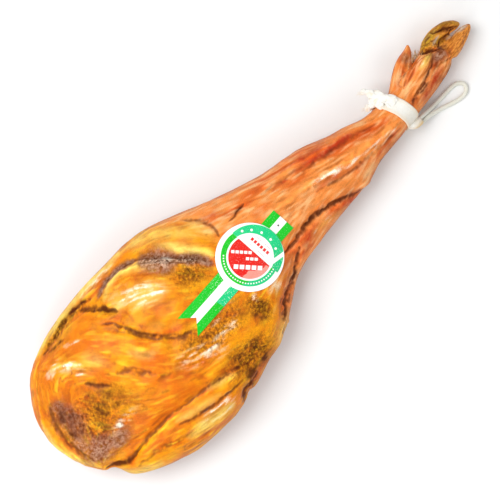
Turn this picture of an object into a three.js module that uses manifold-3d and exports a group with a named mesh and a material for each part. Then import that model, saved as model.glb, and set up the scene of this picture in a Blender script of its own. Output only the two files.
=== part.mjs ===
// Cured shoulder ham with its trotter left on, lying on its skin side with the meat side up.
// The ham is one grown piece. Cotton tape is tied round its ankle and holds a hanging loop of cord,
// and a paper label lies on its middle: a round seal on a forked ribbon.
// Millimetres. +X runs along the ham to the trotter, +Y across it, +Z up from the surface it lies on.
import * as THREE from "three";
import { mergeVertices } from "three/addons/utils/BufferGeometryUtils.js";
import Module from "manifold-3d";

const wasm = await Module();
wasm.setup();

// Overall sizes of the ham.
const hamLength = 693;
const hamWidth = 234;
const hamHeight = 104;
const restDepth = 4; // how far the underside is pressed flat where the ham has lain
const restStart = [0.08, 0.14]; // where the pressed part begins and ends, as shares of the length
const restEnd = [0.42, 0.5];
const upperFullness = 2.12; // 2 is an ellipse, more is squarer
const underFullness = 2.4;
const waistShare = 0.45; // height of the widest girth, as a share of each section's height
const reliefFade = 0.6; // how far up the side the relief has come to its full depth

// Tape round the ankle.
const tapeWidth = 20;
const tapeThickness = 1.6;
const tapeAlong = 0.8035; // its place, as a share of the ham's length from the butt
const tapeSkew = 13; // degrees, seen from above
const tapeLean = 10; // degrees, its upper side towards the trotter
const tapeCutFrom = 4 * tapeWidth; // the length of the ham's skin that it is cut from, each way
const knotRadius = 10;
const foldReach = 6.5; // the doubled end of the tape that the cord comes out of
const foldSunk = 0.4; // how deep the fold sits in the tape, as a share of its reach

// Hanging loop.
const cordDiameter = 5;
const cordPast = 0.75; // the fold's mouth, past the tape's middle, as a share of its width
const cordOutside = 1.5; // and outside the fold's own middle
const cordSides = 8;
const cordSteps = 48;

// Label.
const sealDiameter = 80;
const paperThickness = 0.5;
const ribbonWidth = 30;
const ribbonTail = 106; // from the seal's centre to the tips of the fork
const ribbonTab = 58; // from the seal's centre to the square end
const forkDepth = 15;
const labelAlong = 0.4565; // the seal's centre, as shares of the ham's length and width
const labelAcross = 0.008;
const labelTurn = 2.5; // degrees

// Clearances between pieces that touch.
const tapeGap = 0.4;
const paperGap = 0.7;
const cordGap = 0.35;

// How finely the shapes are stepped.
const stepsPerStation = 3;
const ringPoints = 44;
const lobeSteps = 12;
const lobeSides = 16;
const lobeBulge = 0.4; // how far a lobe's ends bulge, as a share of the half width there
const splineTension = 0.5;
const weldDistance = 1e-4;

// Cross-sections from the butt to the pastern, as shares of the ham's length, width and height:
// place along, right edge, left edge, underside, top.
const stations = [
  [0.0, 0.051, 0.051, 0.385, 0.385],
  [0.0065, -0.064, 0.167, 0.26, 0.5],
  [0.0238, -0.184, 0.274, 0.154, 0.635],
  [0.0613, -0.334, 0.389, 0.058, 0.77],
  [0.119, -0.432, 0.458, 0.0, 0.875],
  [0.191, -0.482, 0.493, 0.0, 0.957],
  [0.2777, -0.477, 0.5, 0.0, 1.0],
  [0.35, -0.424, 0.49, 0.0, 0.976],
  [0.4219, -0.352, 0.418, 0.0, 0.918],
  [0.494, -0.227, 0.328, 0.023, 0.837],
  [0.5661, -0.1907, 0.2523, 0.046, 0.755],
  [0.6383, -0.1714, 0.211, 0.063, 0.678],
  [0.689, -0.162, 0.151, 0.071, 0.62],
  [0.7249, -0.132, 0.117, 0.076, 0.582],
  [0.7609, -0.1243, 0.0768, 0.075, 0.541],
  [0.804, -0.1115, 0.0747, 0.069, 0.508],
  [0.8431, -0.0965, 0.0832, 0.058, 0.479],
  [0.8835, -0.0815, 0.0982, 0.046, 0.45],
  [0.9152, -0.0644, 0.1153, 0.04, 0.421],
  [0.9354, -0.0344, 0.1068, 0.063, 0.363],
  [0.9455, 0.0126, 0.0725, 0.138, 0.277],
  [0.9499, 0.0426, 0.0426, 0.208, 0.208],
];

// Broad hollows and swellings of the meat side. A route holds shares of the length and width;
// reach and rise are in millimetres, and a rise below nothing is a hollow.
const relief = [
  // The hollow under the blade bone, and the crease and the flap along the right side.
  { reach: 22, rise: -9, route: [[0.058, 0.12], [0.069, -0.035], [0.088, -0.14]] },
  { reach: 9, rise: -6, route: [[0.045, -0.22], [0.12, -0.253], [0.2, -0.266], [0.34, -0.33]] },
  { reach: 18, rise: 3, route: [[0.09, -0.355], [0.2, -0.39], [0.29, -0.39]] },
  // The crease round the shoulder muscle, the muscle, and the groove on its other side.
  { reach: 9, rise: -5, route: [[0.102, 0.415], [0.184, 0.45], [0.223, 0.428], [0.241, 0.312]] },
  { reach: 9, rise: -4, route: [[0.241, 0.312], [0.232, 0.22], [0.246, 0.115], [0.285, -0.004]] },
  { reach: 30, rise: 5, route: [[0.27, 0.295], [0.328, 0.2]] },
  { reach: 9, rise: -4, route: [[0.278, 0.445], [0.338, 0.38], [0.371, 0.278], [0.396, 0.158]] },
  { reach: 20, rise: -3, route: [[0.278, -0.163], [0.379, -0.141]] },
  // The long cleft of the forearm, the crease beside it and the shin's ridge.
  { reach: 7, rise: -5, route: [[0.512, -0.1], [0.595, -0.094], [0.627, -0.111], [0.661, -0.15]] },
  { reach: 8, rise: -3.5, route: [[0.407, -0.347], [0.465, -0.227], [0.523, -0.141]] },
  { reach: 10, rise: 3.5, route: [[0.53, 0.1], [0.609, 0.038], [0.696, -0.03], [0.79, -0.056]] },
];

// Horns of the trotter: place along, across and up as shares of the ham's sizes, then half the
// width and half the height in millimetres.
const outerClaw = [
  [0.9, 0.06, 0.231, 10, 16],
  [0.924, 0.094, 0.24, 9.8, 15],
  [0.947, 0.107, 0.24, 9, 13],
  [0.967, 0.094, 0.231, 8, 10],
  [0.98, 0.073, 0.222, 5.2, 6.5],
  [0.986, 0.062, 0.217, 1.6, 2.6],
];
const innerClaw = [
  [0.905, 0.004, 0.211, 11.5, 16],
  [0.93, 0.0, 0.211, 10.8, 15],
  [0.953, 0.002, 0.202, 9.6, 13],
  [0.976, 0.016, 0.193, 8, 10],
  [0.992, 0.021, 0.18, 4.6, 5.5],
  [0.9985, 0.024, 0.173, 1.6, 2.4],
];
const sideDewclaw = [
  [0.826, 0.043, 0.288, 10, 12],
  [0.849, 0.084, 0.298, 11, 11],
  [0.872, 0.124, 0.298, 9.8, 9],
  [0.889, 0.152, 0.298, 5.2, 5.5],
  [0.898, 0.175, 0.298, 1.5, 2],
];
const topDewclaw = [
  [0.84, 0.043, 0.415, 7, 6],
  [0.869, 0.047, 0.448, 8, 6.5],
  [0.889, 0.053, 0.462, 7, 5.5],
  [0.904, 0.058, 0.456, 4.2, 3.8],
  [0.914, 0.06, 0.438, 1.2, 1.4],
];

// The flesh of the heel between the two claws, in rows of the same kind.
const heel = [
  [0.9, 0.046, 0.2, 9, 13],
  [0.925, 0.05, 0.2, 8, 12],
  [0.945, 0.053, 0.19, 6, 9],
  [0.96, 0.055, 0.18, 3, 5],
];

// The tape's fold: place along as a share of the tape's width, place across and height in
// millimetres, then the half width and the half height as shares of the fold's reach.
const foldRows = [
  [-0.1, 2.5, 27, 0.7, 1],
  [0.2, 0.6, 25, 0.95, 1.35],
  [0.5, -0.8, 22, 1, 1.4],
  [0.72, -1.2, 20.5, 0.9, 1.2],
];

// The knot's round middle and its two short crumpled ends, drawn for a knot of 10 mm radius: place
// along and across in millimetres, height as a share of the ankle's, half width and half height.
const drawnRadius = 10;
const knotLobes = [
  [[6, -6, 0.8, 6, 5], [2, 0, 0.76, 9, 9], [-4, 5, 0.7, 8, 9.5], [-8, 8, 0.66, 5, 6]],
  [[-2, 4, 0.74, 6, 6], [-5, 12, 0.7, 6.4, 5.5], [-7, 19, 0.66, 6, 5], [-7.5, 23.5, 0.64, 4.4, 3]],
  [[-3, 3, 0.7, 6, 6], [-11, 3.5, 0.62, 6.6, 6], [-17, 4, 0.58, 6, 5], [-20, 4.5, 0.56, 3.4, 3]],
];

// Route of the loop's cord: x and y from the fold it comes out of, z above the surface.
const cordRoute = [
  [-5, 2, 24.5],
  [4, 1.6, 21],
  [13, 0.8, 13],
  [22, 0.2, 6],
  [31, 0, 3],
  [42, 0, 2.6],
  [52, 0.2, 2.6],
  [60, -0.8, 2.6],
  [65.6, -4.2, 2.6],
  [67.6, -9.4, 2.6],
  [65, -14.4, 2.6],
  [59, -16.9, 2.6],
  [50, -16.2, 2.6],
  [40, -13.2, 2.6],
  [30, -9.6, 3.2],
  [20, -6.6, 6.5],
  [9, -4.2, 12],
  [0, -3.2, 16],
  [-5, -2.8, 17.5],
];

const curedMeat = new THREE.MeshStandardMaterial({ color: 0xe09a2c, roughness: 0.42, metalness: 0 });
const cottonTape = new THREE.MeshStandardMaterial({ color: 0xf3f1e8, roughness: 0.9, metalness: 0 });
const cottonCord = new THREE.MeshStandardMaterial({ color: 0xf0eddc, roughness: 0.9, metalness: 0 });
const sealPaper = new THREE.MeshStandardMaterial({ color: 0x18a850, roughness: 0.45, metalness: 0 });
const ribbonPaper = new THREE.MeshStandardMaterial({ color: 0x1fb557, roughness: 0.45, metalness: 0 });

// A point given by its shares of the ham's sizes.
function place(along, across, up) {
  return new THREE.Vector3((along - 0.5) * hamLength, across * hamWidth, up * hamHeight);
}

function geometryFrom(positions, index) {
  const geometry = new THREE.BufferGeometry();
  geometry.setAttribute("position", new THREE.Float32BufferAttribute(positions, 3));
  geometry.setIndex(index);
  return geometry;
}

function solid(geometry) {
  const bare = new THREE.BufferGeometry();
  bare.setAttribute("position", geometry.getAttribute("position"));
  bare.setIndex(geometry.getIndex());
  const merged = mergeVertices(bare, weldDistance);
  return new wasm.Manifold(
    new wasm.Mesh({
      numProp: 3,
      vertProperties: merged.getAttribute("position").array,
      triVerts: new Uint32Array(merged.getIndex().array),
    }),
  );
}

function meshOf(name, body, material) {
  const found = body.getMesh();
  const geometry = geometryFrom(Array.from(found.vertProperties), Array.from(found.triVerts));
  const mesh = new THREE.Mesh(geometry, material);
  mesh.name = name;
  return mesh;
}

// Closes a row of rings into one skin. Each ring turns about the way from first to last.
function skin(rings, first, last) {
  const count = rings[0].length;
  const points = [first, ...rings.flat(), last];
  const at = (ring, turn) => 1 + ring * count + (turn % count);
  const index = [];
  for (let turn = 0; turn < count; turn++) {
    index.push(0, at(0, turn + 1), at(0, turn));
    index.push(points.length - 1, at(rings.length - 1, turn), at(rings.length - 1, turn + 1));
    for (let ring = 0; ring + 1 < rings.length; ring++) {
      index.push(at(ring, turn), at(ring, turn + 1), at(ring + 1, turn));
      index.push(at(ring + 1, turn), at(ring, turn + 1), at(ring + 1, turn + 1));
    }
  }
  return geometryFrom(points.flatMap((point) => point.toArray()), index);
}

// One side of a superellipse, from -1 to 1.
function roundedPower(value, fullness) {
  return Math.sign(value) * Math.abs(value) ** (2 / fullness);
}

function smooth(from, to, value) {
  return THREE.MathUtils.smoothstep(value, from, to);
}

// Splines of the station table, run over the row number.
const edgeSpline = splineOf((row) => new THREE.Vector3(row[0], row[1], row[2]));
const heightSpline = splineOf((row) => new THREE.Vector3(row[0], row[3], row[4]));

function splineOf(pick) {
  return new THREE.CatmullRomCurve3(stations.map(pick), false, "catmullrom", splineTension);
}

function sectionAt(run) {
  const edges = edgeSpline.getPoint(run);
  const heights = heightSpline.getPoint(run);
  const pressed = (smooth(...restStart, edges.x) - smooth(...restEnd, edges.x)) * restDepth;
  return {
    x: (edges.x - 0.5) * hamLength,
    middle: ((edges.y + edges.z) / 2) * hamWidth,
    half: ((edges.z - edges.y) / 2) * hamWidth,
    under: heights.y * hamHeight - pressed,
    top: heights.z * hamHeight,
  };
}

// Height of a section's widest girth.
function waistOf(section) {
  return section.under + waistShare * (section.top - section.under);
}

// The run of the splines at which the ham reaches a given x.
function runAt(x) {
  let low = 0;
  let high = 1;
  for (let halving = 0; halving < 40; halving++) {
    const mid = (low + high) / 2;
    if (sectionAt(mid).x < x) low = mid;
    else high = mid;
  }
  return low;
}

function distanceToRoute(x, y, route) {
  const here = new THREE.Vector3(x, y, 0);
  const nearest = new THREE.Vector3();
  let least = Infinity;
  for (let leg = 0; leg + 1 < route.length; leg++) {
    const line = new THREE.Line3(place(...route[leg], 0), place(...route[leg + 1], 0));
    line.closestPointToPoint(here, true, nearest);
    least = Math.min(least, nearest.distanceTo(here));
  }
  return least;
}

function reliefAt(x, y) {
  let rise = 0;
  for (const stroke of relief) {
    const share = distanceToRoute(x, y, stroke.route) / stroke.reach;
    rise += stroke.rise * Math.exp(-(share ** 2));
  }
  return rise;
}

// One ring of the ham's surface, grown outwards by a given amount.
function hamRing(section, grown) {
  const waist = waistOf(section);
  const ring = [];
  for (let turn = 0; turn < ringPoints; turn++) {
    const angle = (2 * Math.PI * turn) / ringPoints;
    const up = Math.sin(angle);
    const fullness = up > 0 ? upperFullness : underFullness;
    const reach = up > 0 ? section.top - waist : waist - section.under;
    const y = section.middle + (section.half + grown) * roundedPower(Math.cos(angle), fullness);
    const z = waist + (reach + grown) * roundedPower(up, fullness);
    const lift = up > 0 ? reliefAt(section.x, y) * smooth(0, reliefFade, up) : 0;
    ring.push(new THREE.Vector3(section.x, y, z + lift));
  }
  return ring;
}

// The ham's skin between two runs of the splines, on the same steps wherever it starts.
function hamSkin(from, to, grown) {
  const steps = (stations.length - 1) * stepsPerStation;
  const rings = [];
  for (let step = Math.ceil(from * steps); step <= Math.floor(to * steps); step++) {
    const section = sectionAt(step / steps);
    if (section.half > 0.5) rings.push(hamRing(section, grown));
  }
  const ends = [rings[0], rings[rings.length - 1]].map((ring) => {
    const sum = ring.reduce((total, point) => total.add(point), new THREE.Vector3());
    return sum.divideScalar(ring.length);
  });
  return skin(rings, ends[0], ends[1]);
}

// Height of the ham's plain upper surface, without the relief.
function plainTop(x, y) {
  const section = sectionAt(runAt(x));
  const waist = waistOf(section);
  const share = Math.min(1, Math.abs((y - section.middle) / section.half));
  return waist + (section.top - waist) * (1 - share ** upperFullness) ** (1 / upperFullness);
}

// One ring of a lobe, square to its spine.
function lobeRing(spine, sizes, run) {
  const centre = spine.getPoint(run);
  const ahead = spine.getTangent(run);
  const side = new THREE.Vector3(0, 0, 1).cross(ahead).normalize();
  const up = ahead.clone().cross(side);
  const size = sizes.getPoint(run);
  const ring = [];
  for (let turn = 0; turn < lobeSides; turn++) {
    const angle = (2 * Math.PI * turn) / lobeSides;
    const point = centre.clone();
    point.addScaledVector(side, size.x * Math.cos(angle));
    point.addScaledVector(up, size.y * Math.sin(angle));
    ring.push(point);
  }
  return ring;
}

// A claw, dewclaw, heel, fold or end of tape: rows of x, y, z, half width and half height joined by
// a smooth run.
function lobe(rows) {
  const spine = new THREE.CatmullRomCurve3(rows.map((row) => new THREE.Vector3(...row)));
  const halves = rows.map((row) => new THREE.Vector3(row[3], row[4], 0));
  const sizes = new THREE.CatmullRomCurve3(halves, false, "catmullrom", splineTension);
  const rings = [];
  for (let step = 0; step <= lobeSteps; step++) {
    rings.push(lobeRing(spine, sizes, step / lobeSteps));
  }
  const first = spine.getPoint(0).addScaledVector(spine.getTangent(0), -lobeBulge * halves[0].x);
  const last = spine.getPoint(1).addScaledVector(spine.getTangent(1), lobeBulge * halves.at(-1).x);
  return solid(skin(rings, first, last));
}

// A lobe of the trotter, from rows that hold shares of the ham's sizes.
function trotterLobe(rows) {
  return lobe(rows.map(([along, across, up, ...halves]) => [...place(along, across, up), ...halves]));
}

function makeHam() {
  let body = solid(hamSkin(0, 1, 0));
  for (const rows of [outerClaw, innerClaw, heel, sideDewclaw, topDewclaw]) {
    body = body.add(trotterLobe(rows));
  }
  const below = new THREE.BoxGeometry(2 * hamLength, 2 * hamWidth, hamHeight);
  below.translate(0, 0, -hamHeight / 2);
  return body.subtract(solid(below));
}

// Where the tape crosses the ham, and the grown skins that its pieces are cut from.
const tapeX = (tapeAlong - 0.5) * hamLength;
const tapeSection = sectionAt(runAt(tapeX));
const tapeFrom = runAt(tapeX - tapeCutFrom);
const tapeTo = runAt(tapeX + tapeCutFrom);
const inTape = solid(hamSkin(tapeFrom, tapeTo, tapeGap));
const onTape = solid(hamSkin(tapeFrom, tapeTo, tapeGap + tapeThickness));
const offTape = solid(hamSkin(tapeFrom, tapeTo, 2 * tapeGap + tapeThickness));

// The fold stands on the right side of the ankle, and the cord leaves it towards the trotter.
const foldY = tapeSection.middle - tapeSection.half - tapeGap - foldSunk * foldReach;
const cordExit = new THREE.Vector3(tapeX + cordPast * tapeWidth, foldY - cordOutside, 0);

function tapeBand() {
  const slab = new THREE.BoxGeometry(tapeWidth, hamWidth, 2 * hamHeight);
  slab.rotateY(THREE.MathUtils.degToRad(tapeLean));
  slab.rotateZ(THREE.MathUtils.degToRad(tapeSkew));
  slab.translate(tapeX, tapeSection.middle, (tapeSection.under + tapeSection.top) / 2);
  return onTape.intersect(solid(slab));
}

function tapeFold() {
  const placed = foldRows.map(([along, across, up, wide, tall]) => [
    tapeX + along * tapeWidth,
    foldY + across,
    up,
    wide * foldReach,
    tall * foldReach,
  ]);
  return lobe(placed);
}

function makeTape() {
  const socket = solid(cordTube(cordDiameter + 2 * cordGap));
  return tapeBand().add(tapeFold()).subtract(inTape).subtract(socket);
}

// The knot sits on the left side of the ankle.
function knotLobe(rows) {
  const side = tapeSection.middle + tapeSection.half;
  const scale = knotRadius / drawnRadius;
  const placed = rows.map(([along, across, up, wide, tall]) => [
    tapeX + along * scale,
    side + across * scale,
    up * tapeSection.top,
    wide * scale,
    tall * scale,
  ]);
  return lobe(placed);
}

function makeKnot() {
  const [middle, longEnd, shortEnd] = knotLobes.map(knotLobe);
  return middle.add(longEnd).add(shortEnd).subtract(offTape);
}

function cordTube(diameter) {
  const route = new THREE.CatmullRomCurve3(
    cordRoute.map(([x, y, z]) => new THREE.Vector3(x, y, z).add(cordExit)),
  );
  const section = new THREE.Shape();
  for (let side = 0; side < cordSides; side++) {
    const angle = (2 * Math.PI * side) / cordSides;
    const corner = [(diameter / 2) * Math.cos(angle), (diameter / 2) * Math.sin(angle)];
    if (side === 0) section.moveTo(...corner);
    else section.lineTo(...corner);
  }
  return new THREE.ExtrudeGeometry(section, { steps: cordSteps, extrudePath: route });
}

function makeCord() {
  return solid(cordTube(cordDiameter));
}

// A point of the label, lying on the ham's plain form: its own x and y from the seal's centre.
function onHam(x, y, height) {
  const centre = place(labelAlong, labelAcross, 0);
  const turned = new THREE.Vector3(x, y, 0).applyAxisAngle(
    new THREE.Vector3(0, 0, 1),
    THREE.MathUtils.degToRad(labelTurn),
  );
  turned.add(centre);
  const bulge = Math.max(0, reliefAt(turned.x, turned.y));
  turned.z = plainTop(turned.x, turned.y) + bulge + height;
  return turned;
}

function makeSeal() {
  const bottom = 2 * paperGap + paperThickness;
  const steps = 5;
  const sides = 40;
  const ringAt = (radius, height) => {
    const ring = [];
    for (let turn = 0; turn < sides; turn++) {
      const angle = (2 * Math.PI * turn) / sides;
      ring.push(onHam(radius * Math.cos(angle), radius * Math.sin(angle), height));
    }
    return ring;
  };
  const radii = Array.from({ length: steps }, (_, step) => ((step + 1) / steps) * (sealDiameter / 2));
  const under = radii.map((radius) => ringAt(radius, bottom));
  const upper = radii.map((radius) => ringAt(radius, bottom + paperThickness)).reverse();
  return solid(skin([...under, ...upper], onHam(0, 0, bottom), onHam(0, 0, bottom + paperThickness)));
}

function makeRibbon() {
  const steps = 24;
  const across = 6;
  const rings = [];
  for (let step = 0; step <= steps; step++) {
    const x = THREE.MathUtils.lerp(-ribbonTail, ribbonTab, step / steps);
    const under = [];
    const upper = [];
    for (let column = 0; column <= across; column++) {
      const y = (column / across - 0.5) * ribbonWidth;
      under.push(onHam(x, y, paperGap));
      upper.unshift(onHam(x, y, paperGap + paperThickness));
    }
    rings.push([...upper, ...under]);
  }
  const middle = paperGap + paperThickness / 2;
  const strip = solid(skin(rings, onHam(-ribbonTail, 0, middle), onHam(ribbonTab, 0, middle)));
  return strip.subtract(fork());
}

// The wedge that is cut out of the ribbon's tail.
function fork() {
  const wedge = new THREE.Shape();
  wedge.moveTo(-ribbonTail - forkDepth, -ribbonWidth);
  wedge.lineTo(-ribbonTail + forkDepth, 0);
  wedge.lineTo(-ribbonTail - forkDepth, ribbonWidth);
  const block = new THREE.ExtrudeGeometry(wedge, { depth: 2 * hamHeight, bevelEnabled: false });
  block.rotateZ(THREE.MathUtils.degToRad(labelTurn));
  const centre = place(labelAlong, labelAcross, 0);
  block.translate(centre.x, centre.y, 0);
  return solid(block);
}

const pieces = [
  meshOf("ham", makeHam(), curedMeat),
  meshOf("tie_band", makeTape(), cottonTape),
  meshOf("tie_knot", makeKnot(), cottonTape),
  meshOf("hanging_loop", makeCord(), cottonCord),
  meshOf("label_ribbon", makeRibbon(), ribbonPaper),
  meshOf("label_seal", makeSeal(), sealPaper),
];

const curedHam = new THREE.Group();
curedHam.add(...pieces);

// The origin goes to the middle of the ham's footprint, on the surface it lies on.
const box = new THREE.Box3();
for (const piece of pieces) if (piece.name !== "hanging_loop") box.expandByObject(piece);
const footprint = box.getCenter(new THREE.Vector3());
curedHam.position.set(-footprint.x, -footprint.y, -box.min.z);

export default curedHam;
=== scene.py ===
# A cured shoulder ham with its trotter, tied with cotton tape, on a pale studio floor.
import math
import bpy
import numpy as np
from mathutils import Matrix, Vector
from mathutils.bvhtree import BVHTree


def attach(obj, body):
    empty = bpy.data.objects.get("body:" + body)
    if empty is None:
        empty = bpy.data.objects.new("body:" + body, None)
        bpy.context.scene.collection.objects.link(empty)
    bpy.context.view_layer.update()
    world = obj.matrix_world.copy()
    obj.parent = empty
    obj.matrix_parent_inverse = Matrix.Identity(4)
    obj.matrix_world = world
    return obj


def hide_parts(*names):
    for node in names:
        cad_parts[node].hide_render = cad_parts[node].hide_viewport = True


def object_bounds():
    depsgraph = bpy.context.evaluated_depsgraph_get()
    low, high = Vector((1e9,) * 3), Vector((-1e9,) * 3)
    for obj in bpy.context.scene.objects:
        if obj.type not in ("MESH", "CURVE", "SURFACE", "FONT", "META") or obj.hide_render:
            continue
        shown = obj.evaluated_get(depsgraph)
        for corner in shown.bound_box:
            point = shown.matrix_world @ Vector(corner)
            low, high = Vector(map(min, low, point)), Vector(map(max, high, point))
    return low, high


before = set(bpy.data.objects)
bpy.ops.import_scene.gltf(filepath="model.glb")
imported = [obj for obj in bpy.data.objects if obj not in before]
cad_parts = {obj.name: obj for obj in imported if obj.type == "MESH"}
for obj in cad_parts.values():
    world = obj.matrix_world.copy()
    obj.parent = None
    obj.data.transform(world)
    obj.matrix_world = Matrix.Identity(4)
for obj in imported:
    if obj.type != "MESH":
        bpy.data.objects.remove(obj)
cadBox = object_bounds()
mm = 0.001

# Points drawn on the ham are in millimetres from this datum, in the middle of its back:
# x towards the trotter, y to the knot's side, z up from the floor.
datum = np.array([-24.5, 5.3, 0.0])


# Drawing lines, soft masks and lumps on the points of a mesh.
def splinePoints(points, perSpan=8):
    rows = np.array(points, float)
    ends = np.vstack([2 * rows[0] - rows[1], rows, 2 * rows[-1] - rows[-2]])
    steps = np.linspace(0, 1, perSpan, endpoint=False)[:, None]
    spans = []
    for a, b, c, d in zip(ends[:-3], ends[1:-2], ends[2:-1], ends[3:]):
        spans.append(0.5 * (2 * b + (c - a) * steps + (2 * a - 5 * b + 4 * c - d) * steps ** 2
                            + (3 * b - a - 3 * c + d) * steps ** 3))
    return np.vstack(spans + [rows[-1:]])


def smoothStep(low, high, values):
    share = np.clip((values - low) / (high - low), 0, 1)
    return share * share * (3 - 2 * share)


def cloud(points, size, seed):
    # smooth lumps from -1 to 1, about size across
    table = np.random.default_rng(seed).uniform(-1, 1, (32, 32, 32))
    scaled = points / size
    cell = np.floor(scaled).astype(int)
    share = scaled - cell
    share = share * share * (3 - 2 * share)
    total = np.zeros(len(points))
    for corner in np.ndindex(2, 2, 2):
        weight = np.prod(np.where(corner, share, 1 - share), axis=1)
        total += weight * table[tuple(((cell + corner) % 32).T)]
    return total


def nearPath(place, path, reach):
    # for the points within reach of a path: which they are, how far off, how far along, which side
    line = splinePoints(path)
    inside = (place > line.min(0) - reach) & (place < line.max(0) + reach)
    near = np.flatnonzero(np.all(inside, axis=1))
    start, span = line[:-1], np.diff(line, axis=0)
    offset = place[near][:, None] - start
    share = np.clip((offset * span).sum(2) / (span ** 2).sum(1), 0, 1)
    gap = offset - share[..., None] * span
    away = np.sqrt((gap ** 2).sum(2))
    nearest = away.argmin(1)
    rows = np.arange(len(near))
    side = span[nearest, 0] * gap[rows, nearest, 1] - span[nearest, 1] * gap[rows, nearest, 0]
    along = (nearest + share[rows, nearest]) / len(span)
    return near, away[rows, nearest], along, np.sign(side)


def strokeMask(place, path, width):
    # 1 on the path, fading over its width and drawn out to a point at both ends
    mask = np.zeros(len(place))
    near, away, along, _ = nearPath(place, path, 2.6 * width)
    taper = np.clip(np.minimum(along, 1 - along) / 0.35, 0, 1) ** 0.5
    mask[near] = np.exp(-(away / (width * (0.3 + 0.7 * taper))) ** 2) * (0.2 + 0.8 * taper)
    return mask


def foldMask(place, path, width):
    # a step: full on the path, falling away over its width to the left of it only
    mask = np.zeros(len(place))
    near, away, along, side = nearPath(place, path, 3 * width)
    taper = smoothStep(0, 0.15, np.minimum(along, 1 - along))
    gentle = np.exp(-(away / width) ** 2)
    steep = np.exp(-(away / (0.25 * width)) ** 2)
    mask[near] = np.where(side > 0, gentle, steep) * taper
    return mask


def alongAcross(place, middle, turn):
    # how far points lie from a middle, along and across a direction of turn degrees
    angle = math.radians(turn)
    offset = place - np.array(middle)
    along = offset[:, 0] * math.cos(angle) + offset[:, 1] * math.sin(angle)
    across = offset[:, 1] * math.cos(angle) - offset[:, 0] * math.sin(angle)
    return along, across


def patchMask(place, middle, radii, turn=0):
    # a soft oval
    along, across = alongAcross(place, middle, turn)
    return np.exp(-((along / radii[0]) ** 2 + (across / radii[1]) ** 2) ** 1.4)


def strongest(place, strokes, patches, wider=1.0, larger=1.0):
    # strokes are strength, width, route; patches are strength, middle, radii, turn
    mask = np.zeros(len(place))
    for strength, width, path in strokes:
        mask = np.maximum(mask, strength * strokeMask(place, path, wider * width))
    for strength, middle, radii, turn in patches:
        mask = np.maximum(mask, strength * patchMask(place, middle, np.array(radii) * larger, turn))
    return mask


# Making meshes and reading or changing their points.
def addObject(name, data):
    made = bpy.data.objects.new(name, data)
    bpy.context.scene.collection.objects.link(made)
    return made


def settle(piece, material, node):
    # gives a piece its material, hangs it from the root body, and hides the model's part that it takes the
    # place of
    piece.data.materials.clear()
    piece.data.materials.append(material)
    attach(piece, "root")
    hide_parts(node)


def enclosed(points, faces):
    # six times the volume inside closed faces, negative when they face inwards
    total = 0.0
    for face in faces:
        rows = points[list(face)]
        total += (rows[0] * np.cross(rows[1:-1], rows[2:])).sum()
    return total


def newMesh(name, points, faces, smooth=True):
    points = np.array(points, float)
    if enclosed(points, faces) < 0:
        faces = [face[::-1] for face in faces]
    mesh = bpy.data.meshes.new(name)
    mesh.from_pydata([tuple(point) for point in points], [], faces)
    mesh.update()
    if smooth:
        mesh.shade_smooth()
    return addObject(name, mesh)


def meshPoints(mesh):
    points = np.empty(len(mesh.vertices) * 3)
    mesh.vertices.foreach_get("co", points)
    return points.reshape(-1, 3)


def setPoints(mesh, points):
    mesh.vertices.foreach_set("co", np.ravel(points))
    mesh.update()


def meshNormals(mesh):
    normals = np.empty(len(mesh.vertices) * 3)
    mesh.vertex_normals.foreach_get("vector", normals)
    return normals.reshape(-1, 3)


def meshEdges(mesh):
    edges = np.empty(len(mesh.edges) * 2, int)
    mesh.edges.foreach_get("vertices", edges)
    return edges.reshape(-1, 2)


def relaxed(values, edges, rounds, share=0.5):
    # evens out values over neighbouring points
    columns = values.reshape(len(values), -1).copy()
    ends = np.concatenate([edges[:, 0], edges[:, 1]])
    others = np.concatenate([edges[:, 1], edges[:, 0]])
    count = np.maximum(np.bincount(ends, minlength=len(values)), 1)
    for _ in range(rounds):
        for column in range(columns.shape[1]):
            mean = np.bincount(ends, columns[others, column], len(values)) / count
            columns[:, column] += share * (mean - columns[:, column])
    return columns.reshape(values.shape)


def setValues(mesh, name, values):
    kind = "FLOAT" if values.ndim == 1 else "FLOAT_VECTOR"
    layer = mesh.attributes.new(name, kind, "POINT")
    layer.data.foreach_set("value" if values.ndim == 1 else "vector", np.ravel(values))


def voxelCopy(mesh, cell):
    # a new mesh with even square cells over the same shape
    source = addObject("voxelSource", mesh)
    remesh = source.modifiers.new("voxels", "REMESH")
    remesh.mode = "VOXEL"
    remesh.voxel_size = cell
    remesh.use_smooth_shade = True
    evaluated = source.evaluated_get(bpy.context.evaluated_depsgraph_get())
    made = bpy.data.meshes.new_from_object(evaluated)
    bpy.data.objects.remove(source)
    return made


def gridFaces(rows, columns, closedRows=False, closedColumns=False):
    faces = []
    for row in range(rows if closedRows else rows - 1):
        for column in range(columns if closedColumns else columns - 1):
            nextRow, nextColumn = (row + 1) % rows, (column + 1) % columns
            faces.append((row * columns + column, row * columns + nextColumn,
                          nextRow * columns + nextColumn, nextRow * columns + column))
    return faces


# The camera looks straight down; turn is how far the ham's length leans in the view.
view = {
    "turn": -46.0,
    "aim": (0.0, 0.0, 45.0),
    "width": 580.0,
    "lens": 135.0,
    "sensor": 36.0,
    "farthest": 50.0,  # metres
}


def makeCamera():
    camera = addObject("camera", bpy.data.cameras.new("camera"))
    camera.data.lens = view["lens"]
    camera.data.sensor_width = view["sensor"]
    camera.data.clip_end = view["farthest"]
    distance = view["width"] * mm * view["lens"] / view["sensor"]
    camera.location = (np.array(view["aim"]) + datum) * mm + np.array([0, 0, distance])
    camera.rotation_euler = (0, 0, math.radians(view["turn"]))
    bpy.context.scene.camera = camera


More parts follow.
